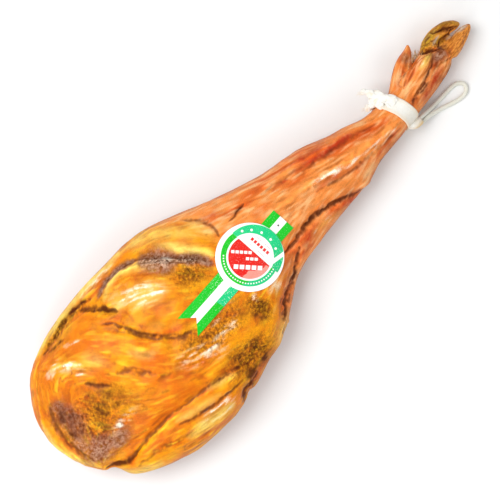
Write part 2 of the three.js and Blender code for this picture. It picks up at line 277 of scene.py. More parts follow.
# The studio, in metres; lights are name, place, size, power in watts.
studio = {
    "floor": (0.86, 0.86, 0.855),
    "floorHalf": 4.0,
    "floorRoughness": 0.9,
    "sky": 0.48,
    "target": (0, 0, 0.04),
    "lights": [
        ("keyLight", (-0.55, 0.7, 1.75), (1.3, 1.3), 31.0),
        ("fillLight", (0.9, -1.0, 1.3), (1.2, 1.2), 5.0),
        ("rimLight", (-1.2, -0.6, 1.0), (0.6, 1.0), 6.0),
    ],
}


def makeLight(name, spot, size, power):
    data = bpy.data.lights.new(name, "AREA")
    data.shape = "RECTANGLE"
    data.size, data.size_y = size
    data.energy = power
    light = addObject(name, data)
    light.location = spot
    aim = Vector(studio["target"]) - Vector(spot)
    light.rotation_euler = aim.to_track_quat("-Z", "Y").to_euler()


def makeFloor():
    half = studio["floorHalf"]
    corners = [(-half, -half, 0), (half, -half, 0), (half, half, 0), (-half, half, 0)]
    floor = newMesh("floor", corners, [(0, 1, 2, 3)], False)
    paint = bpy.data.materials.new("floorPaint")
    paint.use_nodes = True
    shader = paint.node_tree.nodes["Principled BSDF"]
    shader.inputs["Base Color"].default_value = (*studio["floor"], 1)
    shader.inputs["Roughness"].default_value = studio["floorRoughness"]
    floor.data.materials.append(paint)


def makeStudio():
    world = bpy.data.worlds.new("studio")
    bpy.context.scene.world = world
    world.use_nodes = True
    sky = world.node_tree.nodes["Background"]
    sky.inputs["Color"].default_value = (1, 1, 1, 1)
    sky.inputs["Strength"].default_value = studio["sky"]
    for light in studio["lights"]:
        makeLight(*light)
    makeFloor()
    bpy.context.scene.view_settings.view_transform = "Standard"


makeCamera()
makeStudio()
print("studio ready")


# Short ways to build the nodes of a material.
def addNode(tree, kind, inputs=None, **settings):
    node = tree.nodes.new(kind)
    for name, value in settings.items():
        setattr(node, name, value)
    for name, value in (inputs or {}).items():
        if isinstance(value, bpy.types.NodeSocket):
            tree.links.new(value, node.inputs[name])
        else:
            node.inputs[name].default_value = value
    return node


def mathOf(tree, operation, *values, clamp=False):
    inputs = dict(enumerate(values))
    return addNode(tree, "ShaderNodeMath", inputs, operation=operation, use_clamp=clamp).outputs[0]


def scaled(tree, value, factor):
    return mathOf(tree, "MULTIPLY", value, factor)


def colour4(colour):
    return (*colour, 1) if not isinstance(colour, bpy.types.NodeSocket) else colour


def mixColour(tree, share, first, second, blend="MIX"):
    inputs = {0: share, 6: colour4(first), 7: colour4(second)}  # the sockets of the colour mix
    return addNode(tree, "ShaderNodeMix", inputs, data_type="RGBA", blend_type=blend).outputs[2]


def spread(tree, value, low, high):
    node = addNode(tree, "ShaderNodeMapRange", {"Value": value, "From Min": low, "From Max": high},
                   interpolation_type="SMOOTHSTEP")
    return node.outputs["Result"]


def painted(tree, name):
    return addNode(tree, "ShaderNodeAttribute", attribute_name=name, attribute_type="GEOMETRY").outputs


def paintedValue(tree, name):
    return painted(tree, name)["Fac"]


def paintedPlace(tree, name):
    return painted(tree, name)["Vector"]


def newGroup(name, numbers, outputs):
    # a group with a vector input, number inputs with their usual values, and number outputs
    group = bpy.data.node_groups.new(name, "ShaderNodeTree")
    group.interface.new_socket("Vector", in_out="INPUT", socket_type="NodeSocketVector")
    for label, value in numbers.items():
        socket = group.interface.new_socket(label, in_out="INPUT", socket_type="NodeSocketFloat")
        socket.default_value = value
    for label in outputs:
        group.interface.new_socket(label, in_out="OUTPUT", socket_type="NodeSocketFloat")
    given = group.nodes.new("NodeGroupInput").outputs
    return group, given, group.nodes.new("NodeGroupOutput").inputs


def useGroup(tree, group, **inputs):
    return addNode(tree, "ShaderNodeGroup", inputs, node_tree=group).outputs


def noise(tree, vector, scale, detail, **inputs):
    inputs = {"Vector": vector, "Scale": scale, "Detail": detail, **inputs}
    return addNode(tree, "ShaderNodeTexNoise", inputs)


def buildMottle():
    # soft uneven patches with finer ones inside them
    group, given, out = newGroup("mottle", {"Size": 100.0, "Contrast": 0.5}, ["Mask", "Fine"])
    big = noise(group, given["Vector"], given["Size"], 5.0, Roughness=0.62, Distortion=0.6)
    small = noise(group, given["Vector"], scaled(group, given["Size"], 4.3), 4.0, Roughness=0.7)
    low = mathOf(group, "MULTIPLY_ADD", given["Contrast"], -0.4, 0.5)
    high = mathOf(group, "MULTIPLY_ADD", given["Contrast"], 0.4, 0.5001)
    group.links.new(spread(group, big.outputs["Fac"], low, high), out["Mask"])
    group.links.new(small.outputs["Fac"], out["Fine"])
    return group


def buildFibre():
    # long fine fibres along the first axis of the vector
    group, given, out = newGroup("fibre", {"Count": 400.0, "Stretch": 0.12}, ["Mask", "Height"])
    narrow = addNode(group, "ShaderNodeCombineXYZ", {"X": given["Stretch"], "Y": 1.0, "Z": 1.0})
    drawn = addNode(group, "ShaderNodeVectorMath", {0: given["Vector"], 1: narrow.outputs[0]},
                    operation="MULTIPLY")
    strands = noise(group, drawn.outputs[0], given["Count"], 4.0, Roughness=0.6, Distortion=0.35)
    group.links.new(spread(group, strands.outputs["Fac"], 0.32, 0.68), out["Mask"])
    group.links.new(strands.outputs["Fac"], out["Height"])
    return group


def buildWeave():
    # over-and-under threads: x of the vector runs along the cloth, y across it, in threads
    group, given, out = newGroup("weave", {"Wander": 0.15}, ["Height", "Gap"])
    wobble = noise(group, given["Vector"], 0.35, 2.0)
    shift = addNode(group, "ShaderNodeVectorMath", {0: wobble.outputs["Color"], "Scale": given["Wander"]},
                    operation="SCALE")
    moved = addNode(group, "ShaderNodeVectorMath", {0: given["Vector"], 1: shift.outputs[0]},
                    operation="ADD")
    parts = addNode(group, "ShaderNodeSeparateXYZ", {"Vector": moved.outputs[0]})
    waves, cells = [], []
    for axis in ("X", "Y"):
        turned = scaled(group, parts.outputs[axis], math.pi)
        waves.append(mathOf(group, "ABSOLUTE", mathOf(group, "SINE", turned)))
        cells.append(mathOf(group, "FLOOR", parts.outputs[axis]))
    odd = mathOf(group, "FLOORED_MODULO", mathOf(group, "ADD", *cells), 2.0)
    height = addNode(group, "ShaderNodeMix", {"Factor": odd, "A": waves[0], "B": waves[1]})
    group.links.new(height.outputs["Result"], out["Height"])
    gap = mathOf(group, "SUBTRACT", 1.0, mathOf(group, "MULTIPLY", *waves), clamp=True)
    group.links.new(gap, out["Gap"])
    return group


def buildPaperWear():
    # rubbed ink, faint dirt and an uneven sheen
    outputs = ["Rubbed", "Dirt", "Roughness", "Height"]
    group, given, out = newGroup("paperWear", {"Scuff": 0.25}, outputs)
    worn = useGroup(group, mottle, Vector=given["Vector"], Size=0.16, Contrast=0.5)
    rubbed = mathOf(group, "MULTIPLY", spread(group, worn["Fine"], 0.56, 0.66), given["Scuff"])
    group.links.new(rubbed, out["Rubbed"])
    group.links.new(scaled(group, worn["Mask"], 0.05), out["Dirt"])
    group.links.new(mathOf(group, "MULTIPLY_ADD", worn["Fine"], 0.25, 0.34), out["Roughness"])
    group.links.new(worn["Fine"], out["Height"])
    return group


mottle = buildMottle()
fibre = buildFibre()
weave = buildWeave()
paperWear = buildPaperWear()


def newMaterial(name):
    material = bpy.data.materials.new(name)
    material.use_nodes = True
    tree = material.node_tree
    return material, tree, tree.nodes["Principled BSDF"]


def bumpOf(tree, shader, *heights):
    # heights: (socket, distance in metres, strength), each laid over the one before
    normal = None
    for socket, distance, strength in heights:
        inputs = {"Height": socket, "Distance": distance, "Strength": strength}
        bump = addNode(tree, "ShaderNodeBump", inputs)
        if normal:
            tree.links.new(normal, bump.inputs["Normal"])
        normal = bump.outputs["Normal"]
    tree.links.new(normal, shader.inputs["Normal"])


# The hanging loop's cord.
loop = {
    "diameter": 5.0,
    "exit": (224.92, -32.27),  # where the fold lets the cord out, in the frame
    "route": [(-5, 2, 24.5), (4, 1.6, 21), (13, 0.8, 13), (22, 0.2, 6), (31, 0, 3), (42, 0, 2.6),
              (52, 0.2, 2.6), (60, -0.8, 2.6), (65.6, -4.2, 2.6), (67.6, -9.4, 2.6), (65, -14.4, 2.6),
              (59, -16.9, 2.6), (50, -16.2, 2.6), (40, -13.2, 2.6), (30, -9.6, 3.2), (20, -6.6, 6.5),
              (9, -4.2, 12), (0, -3.2, 16), (-5, -2.8, 17.5)],
    "sides": 40,
    "step": 0.4,  # length of the mesh's cells
    "strands": 8,
    "braidStep": 7.5,  # how far a strand goes in one turn round the cord
    "braidDepth": 0.28,
    "clearance": 0.05,  # least height over the floor
    "white": (0.88, 0.87, 0.8),  # linear values, unlike the other pieces' colours
    "shade": (0.5, 0.5, 0.36),
}


def sweepFrames(line):
    # tangents and two sideways directions along a line, turning as little as possible
    tangents = np.gradient(line, axis=0)
    tangents /= np.linalg.norm(tangents, axis=1)[:, None]
    sides = np.empty_like(line)
    side = np.cross([0, 0, 1], tangents[0])
    for row, tangent in enumerate(tangents):
        side = side - tangent * side.dot(tangent)
        side /= np.linalg.norm(side)
        sides[row] = side
    return tangents, sides, np.cross(tangents, sides)


def evenLine(points, step):
    line = splinePoints(points, 24)
    run = np.concatenate([[0], np.cumsum(np.linalg.norm(np.diff(line, axis=0), axis=1))])
    places = np.linspace(0, run[-1], max(2, int(run[-1] / step)))
    return np.column_stack([np.interp(places, run, line[:, axis]) for axis in range(3)]), places


def loft(rings):
    # points and faces of a closed body through rings of points
    rows, sides = rings.shape[:2]
    last = (rows - 1) * sides
    faces = gridFaces(rows, sides, closedColumns=True)
    faces += [tuple(range(sides))[::-1], tuple(range(last, last + sides))]
    return rings.reshape(-1, 3), faces


def tubeRings(line, radius, sides, lift=0.0):
    tangents, across, up = sweepFrames(line)
    angles = np.linspace(0, 2 * math.pi, sides, endpoint=False)
    spokes = (across[:, None] * np.cos(angles)[None, :, None]
              + up[:, None] * np.sin(angles)[None, :, None])
    reach = np.reshape(radius, (-1, 1)) + np.zeros((len(line), sides)) + lift
    return line[:, None] + spokes * reach[..., None]


def braidHeight(along, around):
    first, second = around + along, around - along
    odd = (np.floor(first) + np.floor(second)) % 2
    return np.where(odd > 0, np.abs(np.sin(math.pi * first)), np.abs(np.sin(math.pi * second)))


def makeLoop():
    route = np.array(loop["route"], float) + np.array([*loop["exit"], 0])
    line, run = evenLine(route, loop["step"])
    sides, turns = loop["sides"], loop["strands"] / 2
    around = np.arange(sides) / sides * turns
    height = braidHeight(run[:, None] / loop["braidStep"] * turns, around[None, :])
    base = loop["diameter"] / 2 - 0.75 * loop["braidDepth"]
    points, faces = loft(tubeRings(line, base, sides, height * loop["braidDepth"] * 1.4))
    points[:, 2] = np.maximum(points[:, 2], loop["clearance"])
    piece = newMesh("cord_loop", points * mm, faces)
    setValues(piece.data, "braidTop", height.ravel())
    girth = np.arange(sides) / sides * math.pi * loop["diameter"]
    setValues(piece.data, "cordPlace", np.column_stack([
        np.repeat(run, sides), np.tile(girth, len(run)), np.zeros(len(run) * sides)]))
    settle(piece, makeCordCotton(), "hanging_loop")


def makeCordCotton():
    material, tree, shader = newMaterial("cordCotton")
    place = addNode(tree, "ShaderNodeNewGeometry").outputs["Position"]
    soiled = useGroup(tree, mottle, Vector=place, Size=60.0, Contrast=0.7)
    strands = useGroup(tree, fibre, Vector=paintedPlace(tree, "cordPlace"), Count=3.2, Stretch=0.15)
    top = paintedValue(tree, "braidTop")
    base = mixColour(tree, scaled(tree, soiled["Mask"], 0.35), loop["white"], loop["shade"])
    # painted shade: the hollows between the braid's strands are darkened to the shade colour
    deep = scaled(tree, mathOf(tree, "SUBTRACT", 1.0, top), 0.55)
    base = mixColour(tree, deep, base, loop["shade"])
    tree.links.new(base, shader.inputs["Base Color"])
    shader.inputs["Roughness"].default_value = 0.88
    shader.inputs["Sheen Weight"].default_value = 0.25
    bumpOf(tree, shader, (strands["Height"], 0.00025, 0.6))
    return material


makeLoop()


# The ham's mesh, and how deep its fibres are.
ham = {
    "cell": 1.55,  # size of the mesh's cells on the butt
    "footCell": 0.5,  # and on the trotter, as a share of that
    "footFrom": 192.0,
    "footTo": 236.0,
    "footMiddle": (-17.0, 30.0),  # y and z of the ankle's middle
    "strand": (0.4, 0.7),  # depth of the fine and the broad fibres
    "rough": 0.75,  # depth of the crystals on the dry patches
    "closeHollow": 0.45,  # depths at which a hollow is darkest
    "farHollow": 1.5,
    "strandHollow": 0.35,  # how much the fibres count in the hollows
    "horny": (238, 250),  # x from where to where the skin turns into the trotter's
    "tied": (208, 216, 250, 258),  # x where the tape presses the fibres flat, with soft ends
    "clearance": 0.15,  # least height over the floor
    "haloWidth": 2.7,  # the brown round creases and dark patches, as a share of their own sizes
    "haloReach": 1.6,
}

# Directions that the fibres run in.
grain = [
    [(-300, 60), (-250, 95), (-150, 107), (-60, 98), (0, 76), (60, 53), (130, 36), (200, 12)],
    [(-320, -10), (-316, 20), (-300, 52), (-272, 80)],
    [(-306, -40), (-300, -10), (-290, 30), (-268, 60)],
    [(-262, 76), (-236, 55), (-205, 18), (-180, -18), (-150, -45), (-110, -60)],
    [(-235, 85), (-200, 72), (-172, 42), (-150, 12), (-120, -10)],
    [(-250, 0), (-225, -25), (-190, -45), (-150, -62)],
    [(-150, 84), (-118, 68), (-96, 42), (-78, 18)],
    [(-158, 58), (-122, 46), (-90, 28), (-60, 12)],
    [(-130, 97), (-92, 88), (-66, 60), (-44, 26)],
    [(-96, 102), (-60, 86), (-30, 56), (-16, 26)],
    [(-290, -66), (-250, -84), (-200, -101), (-150, -112), (-110, -106)],
    [(-262, -68), (-200, -69), (-140, -80), (-100, -90), (-60, -92), (-25, -80), (10, -58), (60, -40)],
    [(-120, -30), (-80, -40), (-40, -52), (0, -45), (40, -34)],
    [(-20, 40), (40, 24), (100, 10), (170, -8), (230, -16)],
    [(0, 60), (60, 42), (130, 26), (200, 6)],
    [(30, -36), (90, -33), (150, -36), (225, -26)],
    [(240, -5), (290, 2), (325, 10), (358, 14)],
    [(240, -25), (295, -20), (335, -12), (370, -2)],
    [(255, 6), (275, 20), (299, 34)],
]

# Creases and ridges: height, width, route.
strokes = [
    (-2.2, 4, [(-252, 88), (-236, 92), (-212, 96), (-190, 98), (-166, 93)]),
    (-3.4, 4.2, [(-186, 92), (-176, 86), (-168, 79), (-160, 69), (-153, 59)]),
    (-3.0, 4, [(-176, 60), (-168, 50), (-160, 36), (-152, 20), (-140, 5), (-124, -10), (-110, -17)]),
    (-1.5, 6, [(-216, 20), (-203, 10), (-194, 4), (-185, -10), (-175, -25), (-163, -33)]),
    (-3.4, 3.6, [(-298, -55), (-286, -61), (-276, -67), (-262, -69), (-248, -67)]),
    (-1.2, 3.0, [(-256, -68), (-240, -66), (-205, -66), (-165, -71)]),
    (-1.8, 3.0, [(-178, -70), (-150, -74), (-125, -79), (-104, -84), (-90, -90)]),
    (-1.6, 2.6, [(-200, -80), (-182, -87), (-165, -91), (-150, -94), (-130, -97), (-110, -97)]),
    (-1.0, 4.0, [(-268, -80), (-240, -84), (-214, -92), (-190, -100)]),
    (-3.0, 4.5, [(-132, -119), (-121, -110), (-106, -107), (-94, -103)]),
    (-3.6, 3.2, [(26, -31), (45, -30), (60, -28), (78, -27), (95, -30), (112, -34), (128, -41), (144, -46)]),
    (-3.6, 4.2, [(-44, -94), (-30, -82), (-15, -72), (0, -63), (14, -56), (28, -47), (42, -37)]),
    (1.8, 5.0, [(-309, -42), (-314, -15), (-314, 8), (-309, 30), (-299, 50)]),
    (-2.2, 4.5, [(-299, -40), (-304, -18), (-304, 6), (-298, 28), (-286, 42)]),
    (-2.0, 3.5, [(-240, 30), (-231, 17), (-220, 6)]),
    (1.4, 6.0, [(-264, 76), (-248, 66), (-237, 56), (-224, 44)]),
    (1.3, 5.0, [(40, 15), (75, 8), (110, 1), (150, -9), (190, -16), (228, -20)]),
    (-1.1, 4.0, [(88, 23), (125, 16), (165, 9), (208, -4)]),
    (0.9, 5.0, [(50, 40), (95, 32), (140, 20), (190, 6)]),
    (-0.9, 3.5, [(60, 34), (92, 28), (120, 24)]),
    (-1.0, 3.0, [(100, -9), (140, -20), (190, -26), (224, -28)]),
    (-1.2, 2.0, [(6, 40), (20, 42), (34, 43)]),
    (-1.4, 3.4, [(-30, 82), (-16, 64), (-10, 50), (-14, 34)]),
    (-2.2, 2.6, [(250, -20), (262, -14), (274, -12), (286, -8), (298, -4), (311, 4)]),
    (2.4, 5.0, [(258, 8), (270, 12), (282, 13)]),
    (-5.0, 3.0, [(328, 24), (337, 20), (344, 15), (350, 10), (360, 6)]),
    (-3.0, 2.4, [(301, 21), (308, 13), (315, 9), (322, 4)]),
    (-0.9, 2.4, [(322, -18), (327, -9), (329, 0), (326, 7)]),
    (-2.2, 2.0, [(322, 8), (333, 10), (346, 8), (358, 4)]),
    (-1.2, 1.8, [(306, 24), (314, 19), (324, 17)]),
    (-1.6, 2.5, [(288, -14), (300, -10), (314, -10), (324, -13)]),
]

# Steps whose high side lies to the left of the route: height, width, route.
folds = [
    (1.9, 9, [(-178, 62), (-168, 48), (-157, 29), (-146, 11), (-128, -6), (-110, -14)]),
    (1.7, 10, [(-88, -88), (-120, -80), (-165, -73), (-205, -68), (-262, -71), (-290, -62)]),
    (-2.0, 8, [(-160, 87), (-146, 93), (-128, 95), (-108, 90), (-92, 82), (-76, 66), (-62, 52),
               (-50, 38), (-40, 18)]),
    (1.6, 8, [(-44, 16), (-58, 36), (-72, 50), (-88, 66), (-104, 80), (-128, 89), (-156, 84)]),
    (1.6, 8, [(46, -34), (28, -45), (0, -61), (-26, -78), (-48, -96)]),
    (1.3, 7, [(146, -46), (112, -36), (78, -29), (45, -32), (24, -33)]),
]

# Hollows and swellings: height, middle, radii, turn.
patches = [
    (-3.6, (-284, 6), (13, 26), 8),
    (-1.6, (-252, -2), (13, 20), 0),
    (-1.8, (-226, 0), (15, 26), 30),
    (1.6, (-268, 52), (20, 12), 40),
    (1.8, (-180, 30), (16, 34), 30),
    (-1.4, (-150, -42), (26, 12), -20),
    (-2.0, (-88, -84), (26, 14), 0),
    (2.2, (-45, -84), (22, 12), 28),
    (-1.6, (-38, -54), (10, 16), 0),
    (-4.6, (326, 4), (4.5, 6.5), 20),
    (2.2, (314, 18), (7, 5), 40),
    (-2.4, (308, -4), (7, 5), 0),
    (1.5, (338, 11), (9, 3), -25),
]

# Pushes on the outline: middle, reach, push.
dents = [
    ((-297, -74, 42), 10, (4.5, 14, 0)),
    ((-118, -118, 42), 7, (0, 4.5, 0)),
    ((-150, -122, 42), 16, (0, -1.8, 0)),
    ((-54, -103, 45), 14, (0, -2.2, 0)),
    ((-28, -90, 44), 2.4, (0.8, -3.6, 0)),
    ((152, -45, 36), 6, (0, -1.6, 0)),
    ((326, -18, 24), 3.2, (0, 4.0, 0)),
    ((306, 18, 30), 5, (-1, -2, 0)),
]


def magnified(points, back=False):
    # spreads the trotter out, so that even cells make a finer mesh there
    grid = np.linspace(-420, 420, 3361)
    growth = 1 + (1 / ham["footCell"] - 1) * smoothStep(ham["footFrom"], ham["footTo"], grid)
    steps = (growth[1:] + growth[:-1]) / 2 * np.diff(grid)
    spreadOut = np.concatenate([[0], np.cumsum(steps)]) + grid[0]
    middle = np.array(ham["footMiddle"])
    moved = points.copy()
    if back:
        moved[:, 0] = np.interp(points[:, 0], spreadOut, grid)
        share = np.interp(moved[:, 0], grid, growth)[:, None]
        moved[:, 1:] = middle + (points[:, 1:] - middle) / share
    else:
        moved[:, 0] = np.interp(points[:, 0], grid, spreadOut)
        share = np.interp(points[:, 0], grid, growth)[:, None]
        moved[:, 1:] = middle + (points[:, 1:] - middle) * share
    return moved


def grainDirections(place):
    total = np.zeros((len(place), 2))
    for path in grain:
        line = splinePoints(path, 6)
        run = np.gradient(line, axis=0)
        run /= np.linalg.norm(run, axis=1)[:, None]
        for start in range(0, len(place), 20000):
            part = slice(start, start + 20000)
            away = ((place[part, None] - line) ** 2).sum(2)
            nearest = away.argmin(1)
            total[part] += run[nearest] / (away[np.arange(len(nearest)), nearest, None] + 40) ** 1.5
    return total / np.linalg.norm(total, axis=1)[:, None]


def drawnOut(points, directions, size, length, seed, steps=9):
    # a cloud smeared along the fibres
    total = np.zeros(len(points))
    weights = 0
    for share in np.linspace(-1, 1, steps):
        weight = math.cos(share * math.pi / 2) + 0.1
        total += weight * cloud(points + directions * share * length, size, seed)
        weights += weight ** 2
    return total / math.sqrt(weights)


def shapedHam():
    source = bpy.data.meshes.new("hamSource")
    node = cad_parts["ham"]
    points = magnified(meshPoints(node.data) / mm)
    source.from_pydata([tuple(point * mm) for point in points], [],
                       [tuple(face.vertices) for face in node.data.polygons])
    mesh = voxelCopy(source, ham["cell"] * mm)
    edges = meshEdges(mesh)
    points = magnified(meshPoints(mesh) / mm, back=True)
    points = relaxed(points, edges, 14)
    for _ in range(3):
        points = relaxed(points, edges, 4, -0.25)
        points = relaxed(points, edges, 4, 0.27)
    setPoints(mesh, points * mm)
    return mesh, edges


def drawnRelief(drawn, wandered):
    # the creases, steps, hollows and swellings listed above
    height = np.zeros(len(drawn))
    uneven = 0.85 + 0.5 * cloud(drawn, 8, 19) + 0.3 * cloud(drawn, 3.5, 20)
    for rise, width, path in strokes:
        height += rise * strokeMask(wandered, path, width) * uneven
    for rise, width, path in folds:
        height += rise * foldMask(wandered, path, width)
    for rise, middle, radii, turn in patches:
        height += rise * patchMask(wandered, middle, radii, turn)
    return height


def sculptHam(mesh, edges):
    points = meshPoints(mesh) / mm
    drawn = points - datum
    place = drawn[:, :2]
    normals = meshNormals(mesh)
    upper = smoothStep(-0.05, 0.3, normals[:, 2])
    for middle, reach, push in dents:
        share = np.exp(-(((drawn - middle) * (1, 1, 0.35) / reach) ** 2).sum(1))
        points += share[:, None] * np.array(push)
    # drawn lines waver, so that they don't look ruled
    wander = np.column_stack([cloud(drawn, 14, 3) + 0.5 * cloud(drawn, 5, 4),
                              cloud(drawn, 14, 5) + 0.5 * cloud(drawn, 5, 6)]) * 1.3
    wandered = place + wander
    height = drawnRelief(drawn, wandered) * upper
    flow = grainDirections(place)
    directions = np.column_stack([flow, np.zeros(len(flow))])
    directions -= normals * (directions * normals).sum(1)[:, None]
    fine = drawnOut(drawn, directions, size=2.6, length=9, seed=11)
    broad = drawnOut(drawn, directions, size=8.5, length=26, seed=12)
    foot = smoothStep(*ham["horny"], place[:, 0])
    tied = ham["tied"]
    free = 1 - smoothStep(*tied[:2], place[:, 0]) * (1 - smoothStep(*tied[2:], place[:, 0]))
    # fibres stand out in some places and lie flat in others
    stand = 0.25 + 0.75 * smoothStep(-0.35, 0.6, cloud(drawn, 34, 16) + 0.4 * cloud(drawn, 13, 17))
    stand = np.maximum(stand, foot) * free
    strands = fine * ham["strand"][0] * (0.35 + 0.65 * upper) * stand
    strands += broad * ham["strand"][1] * (1 - 0.5 * foot) * stand
    swells = 0.8 * cloud(drawn, 26, 13) + 0.45 * cloud(drawn, 11, 18)
    height += swells * free * (1 - foot) * (0.4 + 0.6 * upper)
    crystals = cloud(drawn, 3.0, 14) + 0.8 * cloud(drawn, 1.7, 15)
    height += ham["rough"] * roughness(wandered) * crystals * upper
    # hollows are where the relief lies below its neighbours', close by and further off; the shader paints
    # shade into them
    grooved = height + strands * (ham["strandHollow"] + (1 - ham["strandHollow"]) * foot)
    close = (relaxed(grooved, edges, 5) - grooved) / ham["closeHollow"]
    far = (relaxed(grooved, edges, 45) - grooved) / ham["farHollow"]
    setValues(mesh, "hollow", np.clip(0.5 + 0.5 * (close + far), 0, 1))
    setValues(mesh, "stand", stand)
    points += normals * (height + strands)[:, None]
    points[:, 2] = np.clip(points[:, 2], ham["clearance"], cadBox[1][2] / mm)
    setPoints(mesh, points * mm)
    return drawn, wandered, upper, fine, broad


# Where crystals have dried on it: strokes and patches.
dryStrokes = [(0.6, 6, [(-250, 89), (-212, 96), (-166, 93)])]
dryPatches = [(0.9, (-86, -84), (30, 17), 0), (0.8, (-95, -34), (44, 20), -8),
              (0.8, (-40, -52), (14, 18), 0), (0.7, (-262, -8), (34, 34), 0),
              (0.6, (-66, 34), (20, 20), -40), (0.85, (313, 13), (11, 8), 0)]


def roughness(place):
    return strongest(place, dryStrokes, dryPatches)


